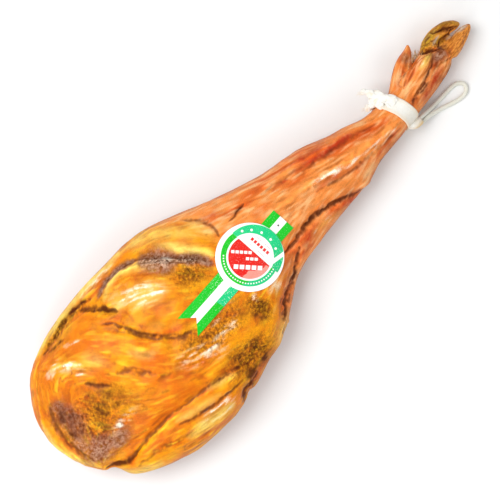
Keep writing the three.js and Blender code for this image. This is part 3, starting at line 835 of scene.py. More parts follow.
# What is painted on the meat, as strokes and patches with more or less ragged edges.
paint = {
    # crease: dark along the sculpted creases and in the hollows, partly the darker meat there and partly
    # painted shade
    "crease": {
        "ragged": 0.5,
        "strokes": [
            (0.75, 2.8, [(-256, 86), (-240, 84), (-225, 83), (-206, 86)]),
            (1.0, 2.6, [(-200, 97), (-193, 99), (-184, 97)]),
            (0.75, 2.2, [(-184, 99), (-176, 96), (-168, 94)]),
            (1.0, 4.6, [(-186, 92), (-176, 86), (-168, 79), (-160, 69), (-153, 60)]),
            (0.8, 3.6, [(-176, 60), (-168, 50), (-160, 36), (-152, 20), (-140, 5), (-124, -10), (-108, -18)]),
            (1.0, 3.4, [(-298, -55), (-286, -61), (-276, -67), (-264, -69), (-252, -68)]),
            (0.22, 1.4, [(-255, -68), (-240, -66), (-205, -66), (-165, -71), (-140, -75)]),
            (0.55, 1.8, [(-160, -72), (-130, -77), (-106, -82)]),
            (0.7, 2.0, [(-196, -82), (-182, -88), (-165, -91), (-150, -94), (-130, -97), (-110, -97)]),
            (1.0, 3.8, [(-132, -118), (-121, -110), (-106, -107), (-94, -103)]),
            (0.95, 3.4, [(-108, -98), (-92, -97), (-76, -98), (-62, -95)]),
            (0.95, 2.3, [(26, -31), (45, -30), (60, -28), (78, -28), (95, -30), (112, -34), (128, -40),
                         (142, -45)]),
            (0.95, 2.8, [(-44, -94), (-30, -82), (-15, -72), (0, -63), (14, -56), (28, -47), (44, -36)]),
            (0.8, 2.2, [(-48, -42), (-50, -52), (-46, -64), (-40, -68)]),
            (0.85, 1.2, [(8, 40), (20, 42), (34, 43)]),
            (0.9, 3.0, [(-240, 29), (-231, 17), (-220, 6)]),
            (0.7, 1.8, [(-250, 20), (-246, 15)]),
            (0.8, 2.4, [(-128, -12), (-121, -17), (-116, -20)]),
            (0.75, 1.5, [(258, -16), (268, -14), (280, -12), (290, -7), (300, -3), (311, 4)]),
            (0.4, 1.4, [(262, 8), (274, 11), (288, 13)]),
            (0.6, 1.6, [(262, -15), (274, -16), (286, -13)]),
            (1.0, 3.4, [(329, 24), (337, 20), (344, 15), (350, 10), (358, 7)]),
            (0.9, 2.0, [(301, 21), (308, 13), (315, 9), (322, 4)]),
            (0.4, 1.6, [(322, -18), (327, -9), (329, 0), (326, 7)]),
            (0.85, 1.8, [(322, 8), (333, 10), (346, 8), (358, 4)]),
            (0.8, 3.0, [(250, -33), (275, -30), (300, -25), (322, -17)]),
            (0.6, 2.4, [(160, -42), (190, -37), (226, -34)]),
        ],
        "patches": [(0.7, (-297, 2), (9, 16), 0), (0.62, (-286, 12), (15, 25), 8),
                    (0.5, (-268, -22), (16, 18), 0), (0.5, (-232, 8), (8, 16), 30),
                    (0.45, (-244, -4), (6, 26), 0), (0.9, (-102, -99), (9, 6), 0),
                    (0.85, (-108, -84), (5, 5), 0), (0.8, (-96, -74), (9, 6), 0),
                    (0.55, (-58, -42), (6, 7), 0), (0.6, (-103, -33), (5, 5), 0),
                    (0.5, (-250, -6), (9, 16), 0), (0.6, (257, -17), (6, 4), 0),
                    (0.45, (305, -6), (6, 4), 20), (0.6, (319, 3), (4, 6), 0),
                    (0.5, (348, 13), (9, 4), -30)],
    },
    "mould": {
        "ragged": 0.9,
        "strokes": [
            (0.95, 5.0, [(-254, 89), (-236, 92), (-212, 95), (-190, 97), (-165, 94)]),
            (0.8, 9.0, [(-80, 50), (-70, 36), (-58, 24), (-48, 16)]),
            (0.5, 4.0, [(-170, 72), (-160, 62), (-154, 56)]),
        ],
        "patches": [(0.85, (-84, -84), (28, 15), 0), (0.45, (-226, -12), (20, 26), 20),
                    (0.4, (-236, -30), (20, 10), 0), (0.5, (-98, -34), (40, 15), -8),
                    (0.85, (-40, -53), (12, 16), 0), (0.65, (-66, 30), (18, 14), -30),
                    (0.5, (-252, -4), (14, 20), 0), (0.4, (-120, -14), (14, 8), -30),
                    (0.35, (312, 14), (9, 7), 0)],
    },
    "slate": {
        "ragged": 0.45,
        "strokes": [
            (0.9, 3.4, [(-160, 87), (-146, 93), (-128, 95), (-112, 92), (-98, 86)]),
            (1.0, 11.0, [(-100, 83), (-86, 71), (-76, 60), (-64, 50)]),
            (0.95, 6.0, [(-70, 58), (-58, 46), (-49, 34), (-41, 19)]),
        ],
        "patches": [(0.62, (-284, -34), (20, 14), -15), (0.55, (-262, -41), (18, 9), -5),
                    (0.5, (-296, -16), (7, 16), 0), (0.45, (-284, 12), (14, 22), 0),
                    (0.45, (-284, 34), (10, 6), 0), (0.8, (326, 5), (4, 7), 20),
                    (0.6, (315, -2), (9, 6), -10), (0.3, (286, 24), (6, 5), 30)],
    },
    # pale cream fat, with a painted highlight on the dome
    "creamAndHighlight": {
        "ragged": 0.35,
        "strokes": [
            (0.95, 4.4, [(-268, 91), (-243, 98), (-215, 103), (-185, 105), (-150, 107), (-120, 106),
                         (-90, 104)]),
            (0.7, 5.0, [(-100, 104), (-80, 101), (-62, 97)]),
            (0.8, 4.6, [(-309, 34), (-317, 10), (-317, -10), (-311, -30), (-302, -44)]),
            (0.9, 5.0, [(-158, 79), (-146, 86), (-130, 90), (-115, 87), (-102, 79), (-92, 69), (-84, 56)]),
            (0.9, 7.0, [(-72, 82), (-60, 68), (-50, 52), (-40, 36), (-34, 24)]),
            (0.55, 9.0, [(-96, 98), (-66, 92), (-44, 74), (-30, 52)]),
            (0.75, 6.0, [(-288, -66), (-281, -80), (-264, -91), (-244, -98)]),
            (0.8, 7.0, [(-205, -98), (-172, -104), (-138, -107)]),
            (0.7, 4.0, [(-262, 70), (-246, 64), (-234, 52), (-224, 42)]),
            (0.55, 5.0, [(-180, 20), (-170, 6), (-158, -4)]),
            (0.5, 4.0, [(-150, -74), (-125, -82), (-110, -88)]),
            (0.5, 5.0, [(-200, -76), (-170, -84), (-140, -90)]),
            (0.8, 4.0, [(286, 4), (296, 6), (304, 7), (311, 7)]),
            (0.2, 3.0, [(60, -38), (90, -41), (120, -45)]),
        ],
        # the first patch is a painted highlight on the dome
        "patches": [(0.75, (-120, 52), (24, 13), -32), (0.5, (-145, 66), (12, 10), 0),
                    (0.5, (-40, -90), (20, 8), 25), (0.35, (-215, 40), (14, 10), -40),
                    (0.45, (-22, 60), (8, 22), 20), (0.4, (356, 8), (8, 4), 0)],
    },
    # white salt bloom, partly painted highlights: the dome, the streak at upper left, the bottom flap and the
    # shank's ridge
    "bloomAndHighlight": {
        "ragged": 1.0,
        "strokes": [
            (1.0, 4.8, [(-262, 72), (-250, 66), (-238, 56), (-226, 46)]),
            (0.8, 2.5, [(-240, 44), (-230, 41), (-224, 38)]),
            (0.6, 2.6, [(-228, 76), (-216, 70), (-208, 64)]),
            (0.8, 3.0, [(95, 2), (120, -4), (145, -12), (170, -18)]),
            (0.45, 3.0, [(170, -18), (195, -21), (220, -24)]),
            (0.35, 2.2, [(64, -40), (85, -40), (104, -43)]),
            (0.6, 2.6, [(-176, 102), (-150, 104), (-120, 103)]),
            (0.8, 3.5, [(-38, -40), (-30, -42)]),
            (0.7, 2.0, [(352, 4), (360, 3), (366, 1)]),
        ],
        "patches": [(1.0, (-124, 56), (22, 11), -35), (0.7, (-108, 42), (10, 6), -30),
                    (0.85, (-154, -101), (20, 7), -6), (0.7, (-122, -44), (24, 9), -25),
                    (0.5, (-84, -44), (20, 6), 0), (0.6, (-240, -32), (18, 4), 0),
                    (0.6, (-80, -26), (16, 4), 0), (0.6, (-258, 66), (8, 6), 0),
                    (0.45, (-10, -50), (8, 5), 0), (0.45, (296, 8), (6, 4), 0),
                    (0.5, (-74, 60), (5, 6), 0), (0.5, (292, 18), (5, 3), 0)],
    },
    "amber": {
        "ragged": 0.35,
        "strokes": [
            (0.9, 7.0, [(-240, 80), (-215, 76), (-190, 82), (-178, 70), (-170, 52)]),
            (0.9, 5.0, [(-152, 24), (-136, 8), (-118, -4), (-104, -6)]),
            (0.7, 5.0, [(-150, 30), (-125, 22), (-100, 18)]),
            (0.9, 8.0, [(-262, -62), (-215, -62), (-165, -66), (-120, -72)]),
            (0.8, 6.0, [(-235, -74), (-200, -80), (-165, -88), (-125, -93)]),
            (0.8, 6.0, [(-215, 18), (-195, 4), (-184, -12), (-170, -28)]),
            (0.8, 6.0, [(-40, 56), (-80, 66)]),
        ],
        "patches": [(0.9, (-262, 30), (22, 15), 0), (0.8, (-270, 62), (24, 12), 30),
                    (0.8, (-240, -50), (24, 10), 0), (0.6, (-150, -50), (40, 12), -15),
                    (0.5, (-215, 62), (14, 12), -40), (0.4, (-200, -30), (24, 16), 0),
                    (0.7, (-300, 44), (8, 14), -20), (0.6, (-80, 30), (30, 8), -15),
                    (0.5, (-100, 8), (30, 6), 0)],
    },
    "olive": {
        "ragged": 0.3,
        "strokes": [(1.0, 6.0, [(300, 14), (312, 19), (326, 23), (340, 22), (352, 17), (361, 8)])],
        "patches": [(0.8, (330, 12), (14, 5), -20), (0.5, (345, 6), (9, 3), -10)],
    },
    "tip": {
        "ragged": 0.5,
        "strokes": [(0.95, 2.2, [(350, 4.5), (358, 3), (367, 0)]), (0.55, 1.8, [(336, 6), (346, 5),
                                                                                (354, 4)]),
                    (0.5, 1.5, [(318, 13), (326, 15), (333, 16)])],
        "patches": [],
    },
    "rust": {
        "ragged": 0.45,
        "strokes": [
            (0.95, 5.0, [(96, 27), (118, 21), (142, 15), (166, 10), (186, 3), (204, -4)]),
            (0.7, 4.0, [(100, 34), (125, 28), (150, 20)]),
            (0.7, 3.0, [(66, 27), (80, 28), (88, 25)]),
            (0.7, 4.0, [(-30, 82), (-20, 68), (-12, 54), (-16, 38)]),
            (0.6, 6.0, [(-20, 66), (-6, 58), (8, 54)]),
            (0.8, 7.0, [(10, -42), (40, -37), (60, -36), (80, -36)]),
            (0.85, 6.0, [(86, -38), (115, -41), (140, -44)]),
            (0.7, 4.0, [(20, -50), (38, -46), (60, -46)]),
            (0.6, 4.0, [(-35, -86), (-10, -68), (10, -58)]),
            (0.6, 3.5, [(180, -30), (205, -28), (225, -27)]),
            (0.8, 5.0, [(260, -24), (285, -19), (310, -13)]),
            (0.6, 4.0, [(275, 26), (286, 30), (294, 32)]),
            (0.6, 3.0, [(-152, 60), (-148, 50), (-150, 36)]),
            (0.6, 3.0, [(-140, 6), (-124, -2), (-110, -4)]),
            (0.5, 4.0, [(100, -8), (125, -12), (150, -20), (175, -28)]),
            (0.5, 3.0, [(-155, -45), (-146, -56), (-138, -66)]),
        ],
        "patches": [(0.8, (-250, 17), (4, 4), 0), (0.6, (255, -17), (8, 6), 0),
                    (0.7, (305, -4), (9, 6), 0), (0.5, (187, 0), (8, 5), 0),
                    (0.4, (-120, -76), (14, 8), 0), (0.5, (-278, 24), (12, 10), 0),
                    (0.4, (150, 24), (30, 6), -18), (0.5, (296, 24), (5, 6), 0),
                    (0.5, (330, -8), (8, 4), 0)],
    },
}

# Where the skin and the horn begin: they lie to the left of these lines.
skinEdge = [(-70, 118), (-60, 101), (-46, 93), (-35, 84), (-25, 66), (-17, 46), (-14, 30), (-4, 5),
            (2, -35), (4, -46), (-8, -60), (-28, -78), (-48, -96), (-60, -118)]
hornEdge = [(300, 40), (303, 24), (307, 14), (314, 12), (321, 8), (327, 6), (327, -4), (324, -14), (322, -30)]


def beyond(place, edge, softness, reach=400):
    near, away, _, side = nearPath(place, edge, reach)
    signed = np.full(len(place), -reach, float)
    signed[near] = away * side
    return smoothStep(-softness, softness, signed)


# Smooth areas, with fewer dark streaks: strength, middle, radii, turn.
calmPatches = [(0.8, (-122, 56), (34, 24), -25), (0.75, (-48, 66), (22, 34), 25),
               (0.5, (20, 55), (50, 20), -20), (0.6, (60, 12), (60, 14), -8),
               (0.7, (-180, 12), (26, 40), 30), (0.5, (-210, -88), (60, 14), -6),
               (0.7, (-30, -70), (24, 14), 30), (0.6, (180, -20), (50, 10), -6)]


def paintHam(mesh, drawn, wandered, upper, fine, broad):
    ragged = cloud(drawn, 6.5, 21) + 0.6 * cloud(drawn, 2.8, 22) + 0.35 * cloud(drawn, 1.4, 23)
    ragged = ragged * 0.7 + fine * 0.25
    for name, layer in paint.items():
        mask = strongest(wandered, layer["strokes"], layer["patches"])
        torn = np.clip(mask * (1 + layer["ragged"] * ragged * 1.3), 0, 1)
        if name == "crease":
            torn = torn * (1 + 0.3 * fine + 0.25 * cloud(drawn, 2.2, 24))
            torn = 0.85 * smoothStep(0.2, 1.05, torn)
        setValues(mesh, name, torn * upper)
    # a wider, softer copy of the creases: brown round them, partly painted shade
    halo = strongest(wandered, paint["crease"]["strokes"], paint["crease"]["patches"],
                     ham["haloWidth"], ham["haloReach"])
    setValues(mesh, "halo", np.clip(halo * (0.75 + 0.8 * ragged), 0, 1) * upper)
    fibrous = wandered + np.column_stack([fine * 3 + broad * 8, np.zeros(len(fine))])
    skin = beyond(fibrous, skinEdge, 9)
    facing = meshNormals(mesh)[:, 2]
    skin = np.maximum(skin, 1 - smoothStep(-0.35, 0.12, facing))
    setValues(mesh, "skin", skin)
    horn = beyond(wandered, hornEdge, 2.0) * smoothStep(290, 300, drawn[:, 0])
    setValues(mesh, "horn", horn)
    setValues(mesh, "strandFine", np.clip(0.5 + 0.32 * fine, 0, 1))
    setValues(mesh, "strandBroad", np.clip(0.5 + 0.32 * broad, 0, 1))
    ridge = 1 - smoothStep(0.0, 0.15, np.abs(broad + 0.35 * fine - 0.15))
    calm = np.maximum(strongest(wandered, [], calmPatches), 0.45 * skin)
    veined = smoothStep(-0.25, 0.45, cloud(drawn, 17, 31))
    setValues(mesh, "vein", ridge * veined * upper * (1 - calm))
    setValues(mesh, "calm", calm)
    # painted shade: the steeper a face, the more it is darkened
    setValues(mesh, "side", 1 - smoothStep(0.08, 0.5, facing))
    setValues(mesh, "below", 1 - smoothStep(-0.5, 0.1, facing))
    setValues(mesh, "dry", roughness(wandered) * upper)


def paintColour(red, green, blue):
    # from the usual 0 to 255 values to the linear ones that shaders take
    shares = np.array([red, green, blue]) / 255
    return tuple(np.where(shares <= 0.04045, shares / 12.92, ((shares + 0.055) / 1.055) ** 2.4))


meatColours = {
    "fatGold": paintColour(246, 160, 0),
    "fatLight": paintColour(255, 208, 40),
    "fatAmber": paintColour(222, 108, 0),
    "creamAndHighlight": paintColour(255, 222, 108),
    "bloomAndHighlight": paintColour(255, 244, 222),
    "vein": paintColour(140, 60, 2),
    # the colour of the painted shade on the steep sides
    "side": paintColour(176, 82, 6),
    "skin": paintColour(250, 152, 70),
    "skinPale": paintColour(255, 204, 140),
    "skinDeep": paintColour(222, 94, 20),
    "rust": paintColour(186, 46, 2),
    "mould": paintColour(88, 50, 4),
    "mouldPale": paintColour(200, 136, 20),
    "slate": paintColour(88, 56, 38),
    "slatePale": paintColour(212, 176, 150),
    "crease": paintColour(74, 26, 3),
    "horn": paintColour(240, 156, 60),
    "hornDark": paintColour(176, 96, 24),
    "olive": paintColour(186, 146, 22),
    "oliveDark": paintColour(92, 62, 8),
    "tip": paintColour(214, 204, 184),
    "undersideBrown": paintColour(182, 98, 30),
}


def streaked(tree, masks, patchy):
    # fat, and skin over it, each in three tones drawn out along the fibres
    tone = meatColours
    fine, broad = masks["strandFine"], masks["strandBroad"]
    soft = mathOf(tree, "MULTIPLY_ADD", patchy["Mask"], 0.45, scaled(tree, broad, 0.62))
    fat = mixColour(tree, spread(tree, soft, 0.28, 0.78), tone["fatAmber"], tone["fatGold"])
    raised = mathOf(tree, "MULTIPLY_ADD", masks["stand"], 0.55, 0.25)
    lit = mathOf(tree, "MULTIPLY", spread(tree, fine, 0.5, 0.85), raised)
    fat = mixColour(tree, lit, fat, tone["fatLight"])
    fat = mixColour(tree, scaled(tree, masks["amber"], 0.75), fat, tone["fatAmber"])
    skin = mixColour(tree, spread(tree, broad, 0.12, 0.58), tone["skinDeep"], tone["skin"])
    pale = scaled(tree, spread(tree, fine, 0.4, 0.85), 0.8)
    skin = mixColour(tree, pale, skin, tone["skinPale"])
    skin = mixColour(tree, scaled(tree, patchy["Mask"], 0.35), skin, tone["skinDeep"])
    # the downward faces are made a darker brown
    skin = mixColour(tree, scaled(tree, masks["below"], 0.7), skin, tone["undersideBrown"])
    meat = mixColour(tree, masks["skin"], fat, skin)
    # painted shade on the steep sides
    return mixColour(tree, scaled(tree, masks["side"], 0.62), meat, tone["side"])


def grownOn(tree, masks, close, meat):
    # what has dried or grown on it, and pale fat: rust, cream with a painted highlight on the dome, dark
    # streaks, mould and slate
    tone = meatColours
    meat = mixColour(tree, scaled(tree, masks["rust"], 0.95), meat, tone["rust"])
    meat = mixColour(tree, scaled(tree, masks["creamAndHighlight"], 0.9), meat, tone["creamAndHighlight"])
    wild = mathOf(tree, "SUBTRACT", 0.42, scaled(tree, masks["calm"], 0.38))
    wild = mathOf(tree, "MULTIPLY", wild, masks["stand"])
    dark = mathOf(tree, "MULTIPLY", spread(tree, masks["strandFine"], 0.42, 0.16), wild)
    streaks = mathOf(tree, "MAXIMUM", dark, scaled(tree, masks["vein"], 0.6))
    meat = mixColour(tree, streaks, meat, tone["vein"])
    crumbs = spread(tree, mathOf(tree, "ADD", close["Fine"], close["Mask"]), 0.7, 1.3)
    mould = mixColour(tree, crumbs, tone["mould"], tone["mouldPale"])
    meat = mixColour(tree, masks["mould"], meat, mould)
    rim = mathOf(tree, "MULTIPLY", masks["slate"], mathOf(tree, "SUBTRACT", 1.0, masks["slate"]))
    meat = mixColour(tree, mathOf(tree, "MULTIPLY", rim, 3.2, clamp=True), meat, tone["vein"])
    slate = mixColour(tree, crumbs, tone["slate"], tone["slatePale"])
    return mixColour(tree, masks["slate"], meat, slate)


def horned(tree, masks, strands, meat):
    # the claws and dewclaws
    tone = meatColours
    horn = mixColour(tree, spread(tree, strands["Mask"], 0.1, 0.8), tone["hornDark"], tone["horn"])
    olive = mixColour(tree, spread(tree, strands["Mask"], 0.05, 0.6), tone["oliveDark"], tone["olive"])
    horn = mixColour(tree, masks["olive"], horn, olive)
    meat = mixColour(tree, scaled(tree, masks["horn"], 0.88), meat, horn)
    return mixColour(tree, masks["tip"], meat, tone["tip"])


def creased(tree, masks, close, meat):
    # dark creases and specks, white bloom with painted highlights, and painted shade in the hollows
    tone = meatColours
    # painted shade, with darker meat, round and in the creases
    meat = mixColour(tree, scaled(tree, masks["halo"], 0.66), meat, tone["vein"])
    meat = mixColour(tree, masks["crease"], meat, tone["crease"])
    specks = mathOf(tree, "MULTIPLY", masks["dry"], spread(tree, close["Fine"], 0.5, 0.4))
    meat = mixColour(tree, scaled(tree, specks, 0.7), meat, tone["crease"])
    flecks = spread(tree, mathOf(tree, "ADD", masks["strandFine"], close["Fine"]), 0.92, 1.2)
    # white bloom flecks, partly painted highlights
    meat = mixColour(tree, mathOf(tree, "MULTIPLY", masks["bloomAndHighlight"], flecks), meat, tone["bloomAndHighlight"])
    # painted shade: darker in the hollows, over a faint random mottle
    mottleAndHollowShade = mathOf(tree, "MULTIPLY_ADD", spread(tree, close["Fine"], 0.34, 0.66), 0.34, 0.8)
    mottleAndHollowShade = mathOf(tree, "MULTIPLY", mottleAndHollowShade, mathOf(tree, "MULTIPLY_ADD", masks["hollow"], -0.95, 1.42))
    # browner too in the deepest hollows: painted shade
    hollowShade = scaled(tree, spread(tree, masks["hollow"], 0.5, 0.95), 0.45)
    meat = mixColour(tree, hollowShade, meat, tone["vein"])
    shade = addNode(tree, "ShaderNodeCombineXYZ", {"X": mottleAndHollowShade, "Y": mottleAndHollowShade, "Z": mottleAndHollowShade}).outputs[0]
    return mixColour(tree, 0.85, meat, shade, "MULTIPLY")


def makeCuredMeat():
    material, tree, shader = newMaterial("curedMeat")
    place = addNode(tree, "ShaderNodeNewGeometry").outputs["Position"]
    patchy = useGroup(tree, mottle, Vector=place, Size=55.0, Contrast=0.9)
    close = useGroup(tree, mottle, Vector=place, Size=260.0, Contrast=0.8)
    strands = useGroup(tree, fibre, Vector=place, Count=520.0, Stretch=0.16)
    names = [*paint, "strandFine", "strandBroad", "skin", "horn", "vein", "calm", "hollow", "stand", "halo",
             "side", "below", "dry"]
    masks = {name: paintedValue(tree, name) for name in names}
    meat = streaked(tree, masks, patchy)
    meat = grownOn(tree, masks, close, meat)
    meat = horned(tree, masks, strands, meat)
    meat = creased(tree, masks, close, meat)
    tree.links.new(meat, shader.inputs["Base Color"])

    grown = mathOf(tree, "MAXIMUM", masks["mould"], masks["slate"])
    dull = mathOf(tree, "MAXIMUM", grown, masks["crease"])
    sheen = mathOf(tree, "MULTIPLY_ADD", dull, 0.35, 0.4)
    sheen = mathOf(tree, "MULTIPLY_ADD", close["Fine"], 0.16, sheen)
    tree.links.new(sheen, shader.inputs["Roughness"])
    greasy = scaled(tree, mathOf(tree, "SUBTRACT", 1.0, dull, clamp=True), 0.09)
    tree.links.new(greasy, shader.inputs["Coat Weight"])
    shader.inputs["Coat Roughness"].default_value = 0.2
    shader.inputs["Specular IOR Level"].default_value = 0.14
    bumpOf(tree, shader, (strands["Height"], 0.001, 0.5), (close["Fine"], 0.0008, 0.6))
    return material


def makeHam():
    mesh, edges = shapedHam()
    paintHam(mesh, *sculptHam(mesh, edges))
    mesh.shade_smooth()
    settle(addObject("ham_body", mesh), makeCuredMeat(), "ham")
    print("ham", len(mesh.vertices), "points")
    return mesh


def treeOf(mesh):
    return BVHTree.FromPolygons([vertex.co for vertex in mesh.vertices],
                                [tuple(face.vertices) for face in mesh.polygons])


hamTree = treeOf(makeHam())

# The cotton tape tied round the ankle. Angles are in degrees from the side where the fold is.
tape = {
    "middle": (209.92, -5.97, 30.03),
    "axis": (0.960, 0.2215, -0.1736),
    "width": 20.0,
    "thickness": 1.5,
    "thread": 0.8,
    "lapFrom": 96.0,  # where the under layer starts to show, and where it ends
    "lapTo": 119.0,
    "lapAcross": 2.6,
    "lapHeight": 0.9,
    "pucker": 0.45,
    "knotAt": 168.0,  # where it puckers most, besides at the fold
    "radius": 23.0,
    "clearance": 0.3,  # over the skin
    "around": 264,  # points round the ankle and across the tape
    "across": 25,
    "white": paintColour(247, 246, 240),
    "shade": paintColour(206, 196, 160),
    # the yellow of stains and of painted shade on the tape
    "stainAndShade": paintColour(232, 182, 72),
    "gap": paintColour(150, 142, 120),
}


def tapeAxes():
    axis = np.array(tape["axis"]) / np.linalg.norm(tape["axis"])
    up = np.array([0, 0, 1]) - axis * axis[2]
    up /= np.linalg.norm(up)
    return np.array(tape["middle"]), axis, np.cross(axis, up), up


def ankleReach(across, angles):
    # how far the tape lies from its middle line, drawn taut over the hollows
    middle, axis, sideways, up = tapeAxes()
    start = 70.0
    reach = np.empty((len(across), len(angles)))
    for row, offset in enumerate(across):
        for column, angle in enumerate(angles):
            spoke = sideways * math.cos(angle) + up * math.sin(angle)
            origin = middle + axis * offset + spoke * start
            hit = hamTree.ray_cast(Vector(origin * mm), Vector(-spoke))
            reach[row, column] = start - hit[3] / mm if hit[0] else np.nan
        known = np.isfinite(reach[row])
        reach[row] = np.where(known, reach[row], np.nanmean(reach[row]))
    turn = np.cos(angles[:, None] - angles[None, :])
    taut = np.empty_like(reach)
    for row, values in enumerate(reach):
        support = (values[:, None] * turn).max(0)
        limits = np.where(turn > 0.05, support[None, :] / np.maximum(turn, 0.05), np.inf)
        taut[row] = limits.min(1)
    for _ in range(3):
        taut = (taut + np.roll(taut, 1, 1) + np.roll(taut, -1, 1)) / 3
        taut[1:-1] = (taut[:-2] + taut[1:-1] + taut[2:]) / 3
    return taut


def makeBand():
    middle, axis, sideways, up = tapeAxes()
    angles = np.linspace(0, 2 * math.pi, tape["around"], endpoint=False)
    across = np.linspace(-1, 1, tape["across"]) * tape["width"] / 2
    under = ankleReach(across, angles) + tape["clearance"]
    degrees = np.degrees(angles)[None, :]
    wide, turns = np.meshgrid(across, angles, indexing="ij")
    share = np.abs(wide) * 2 / tape["width"]
    rolled = tape["radius"] + 1
    flat = np.stack([wide, np.cos(turns) * rolled, np.sin(turns) * rolled], -1).reshape(-1, 3)
    wrinkle = cloud(flat * (0.35, 1, 1), 5, 41) + 0.5 * cloud(flat, 2.4, 42)
    wrinkle = wrinkle.reshape(wide.shape)
    near = np.exp(-((degrees - tape["knotAt"]) / 34) ** 2)
    near = near + np.exp(-(((degrees + 180) % 360 - 180) / 40) ** 2)
    lap = smoothStep(tape["lapFrom"], tape["lapTo"] - 2, degrees)
    lap = lap * (1 - smoothStep(tape["lapTo"], tape["lapTo"] + 1.4, degrees))
    lap = lap * smoothStep(tape["lapAcross"] - 0.5, tape["lapAcross"] + 0.5, wide)
    selvedge = 0.35 * np.exp(-((np.abs(wide) - tape["width"] / 2 + 0.8) / 0.7) ** 2)
    rounded = tape["thickness"] * (1 - 0.55 * share ** 14)
    outer = under + rounded + wrinkle * tape["pucker"] * (0.3 + near) + tape["lapHeight"] * lap + selvedge
    outer = np.maximum(outer, under + 0.5)
    sway = 0.5 * cloud(flat, 9, 43).reshape(wide.shape)
    rings = np.concatenate([outer, under[::-1]])
    offsets = np.concatenate([wide + sway, (wide + sway)[::-1]])
    turns = np.concatenate([turns, turns])
    points = (middle + axis * offsets[..., None] + sideways * (rings * np.cos(turns))[..., None]
              + up * (rings * np.sin(turns))[..., None])
    piece = newMesh("tape_band", points.reshape(-1, 3) * mm, gridFaces(*rings.shape, True, True))
    place = np.stack([turns * tape["radius"], offsets, np.zeros_like(turns)], -1) / tape["thread"]
    setValues(piece.data, "clothPlace", place.reshape(-1, 3))
    # yellower near the knot and the fold, on the hidden inside and towards both edges
    stainAndShade = np.concatenate([0.5 * near + 0.15 * wrinkle, np.ones_like(under)])
    lower = smoothStep(0.35, 0.9, np.abs(offsets) * 2 / tape["width"]) * 0.25
    setValues(piece.data, "stainAndShade", np.clip(stainAndShade * 0.5 + lower, 0, 1).ravel())
    settle(piece, cottonTape, "tie_band")


# The tape's fold that holds the cord; rows are x, y, z, half width and half height.
fold = {
    "sides": 56,  # points round it
    "steps": 9,  # rings from one row to the next
    "outer": 5,  # the rows after this one turn back into it
    "rows": [(206.5, -28.5, 27.5, 3.0, 4.5), (209.5, -29.0, 26.6, 4.8, 6.6),
             (214.0, -30.4, 25.0, 6.2, 8.6), (219.5, -31.6, 22.4, 6.5, 9.0),
             (223.4, -32.0, 20.8, 6.0, 8.0), (224.8, -32.1, 20.5, 5.1, 6.9),
             (224.0, -32.0, 20.6, 4.3, 6.2), (220.5, -31.6, 21.0, 3.8, 5.8),
             (217.5, -31.2, 21.4, 3.0, 5.0)],
}


def makeFold():
    rows = splinePoints(fold["rows"], fold["steps"])
    angles = np.linspace(0, 2 * math.pi, fold["sides"], endpoint=False)
    outside = np.arange(len(rows)) < fold["outer"] * fold["steps"]
    crease = np.cos(3 * angles + 0.6)[None, :] * smoothStep(0, 20, np.arange(len(rows)))[:, None]
    groove = np.exp(-((angles - 1.9) / 0.2) ** 2)[None, :]
    swell = 1 + 0.05 * crease * outside[:, None] - 0.1 * groove * outside[:, None]
    x, y, z, wide, high = rows.T[..., None]
    rings = np.stack([x + 0 * swell, y + wide * np.cos(angles) * swell,
                      z + high * np.sin(angles) * swell], -1)
    points, faces = loft(rings)
    crumple = 0.35 * cloud(points, 3.2, 51) + 0.2 * cloud(points, 1.6, 52)
    points[:, 1:] += crumple[:, None] * outside.repeat(fold["sides"])[:, None]
    piece = newMesh("tape_fold", points * mm, faces)
    girth = np.tile(angles * 7.5, len(rows))
    place = np.stack([np.repeat(rows[:, 0], fold["sides"]), girth, np.zeros(len(points))], -1)
    setValues(piece.data, "clothPlace", place / tape["thread"])
    # painted shade: the fold's lower side and its outer side are yellower
    low = 1 - smoothStep(14, 22, points[:, 2])
    low = np.maximum(low, 1 - smoothStep(-37.6, -32.0, points[:, 1]))
    setValues(piece.data, "stainAndShade", np.clip(0.05 + 0.95 * low + 0.2 * cloud(points, 4, 53), 0, 1))
    settle(piece, cottonTape, "tie_band")


def makeTapeCotton():
    material, tree, shader = newMaterial("cottonTape")
    threads = useGroup(tree, weave, Vector=paintedPlace(tree, "clothPlace"), Wander=0.5)
    place = addNode(tree, "ShaderNodeNewGeometry").outputs["Position"]
    soil = useGroup(tree, mottle, Vector=place, Size=90.0, Contrast=0.8)
    base = mixColour(tree, scaled(tree, soil["Mask"], 0.1), tape["white"], tape["shade"])
    # stains, and painted shade on the fold's and the knot's lower sides
    base = mixColour(tree, scaled(tree, paintedValue(tree, "stainAndShade"), 0.8), base, tape["stainAndShade"])
    # painted shade in the gaps between the woven threads
    base = mixColour(tree, scaled(tree, threads["Gap"], 0.12), base, tape["gap"])
    tree.links.new(base, shader.inputs["Base Color"])
    shader.inputs["Roughness"].default_value = 0.9
    shader.inputs["Sheen Weight"].default_value = 0.2
    bumpOf(tree, shader, (threads["Height"], 0.00018, 0.6), (soil["Fine"], 0.0002, 0.4))
    return material


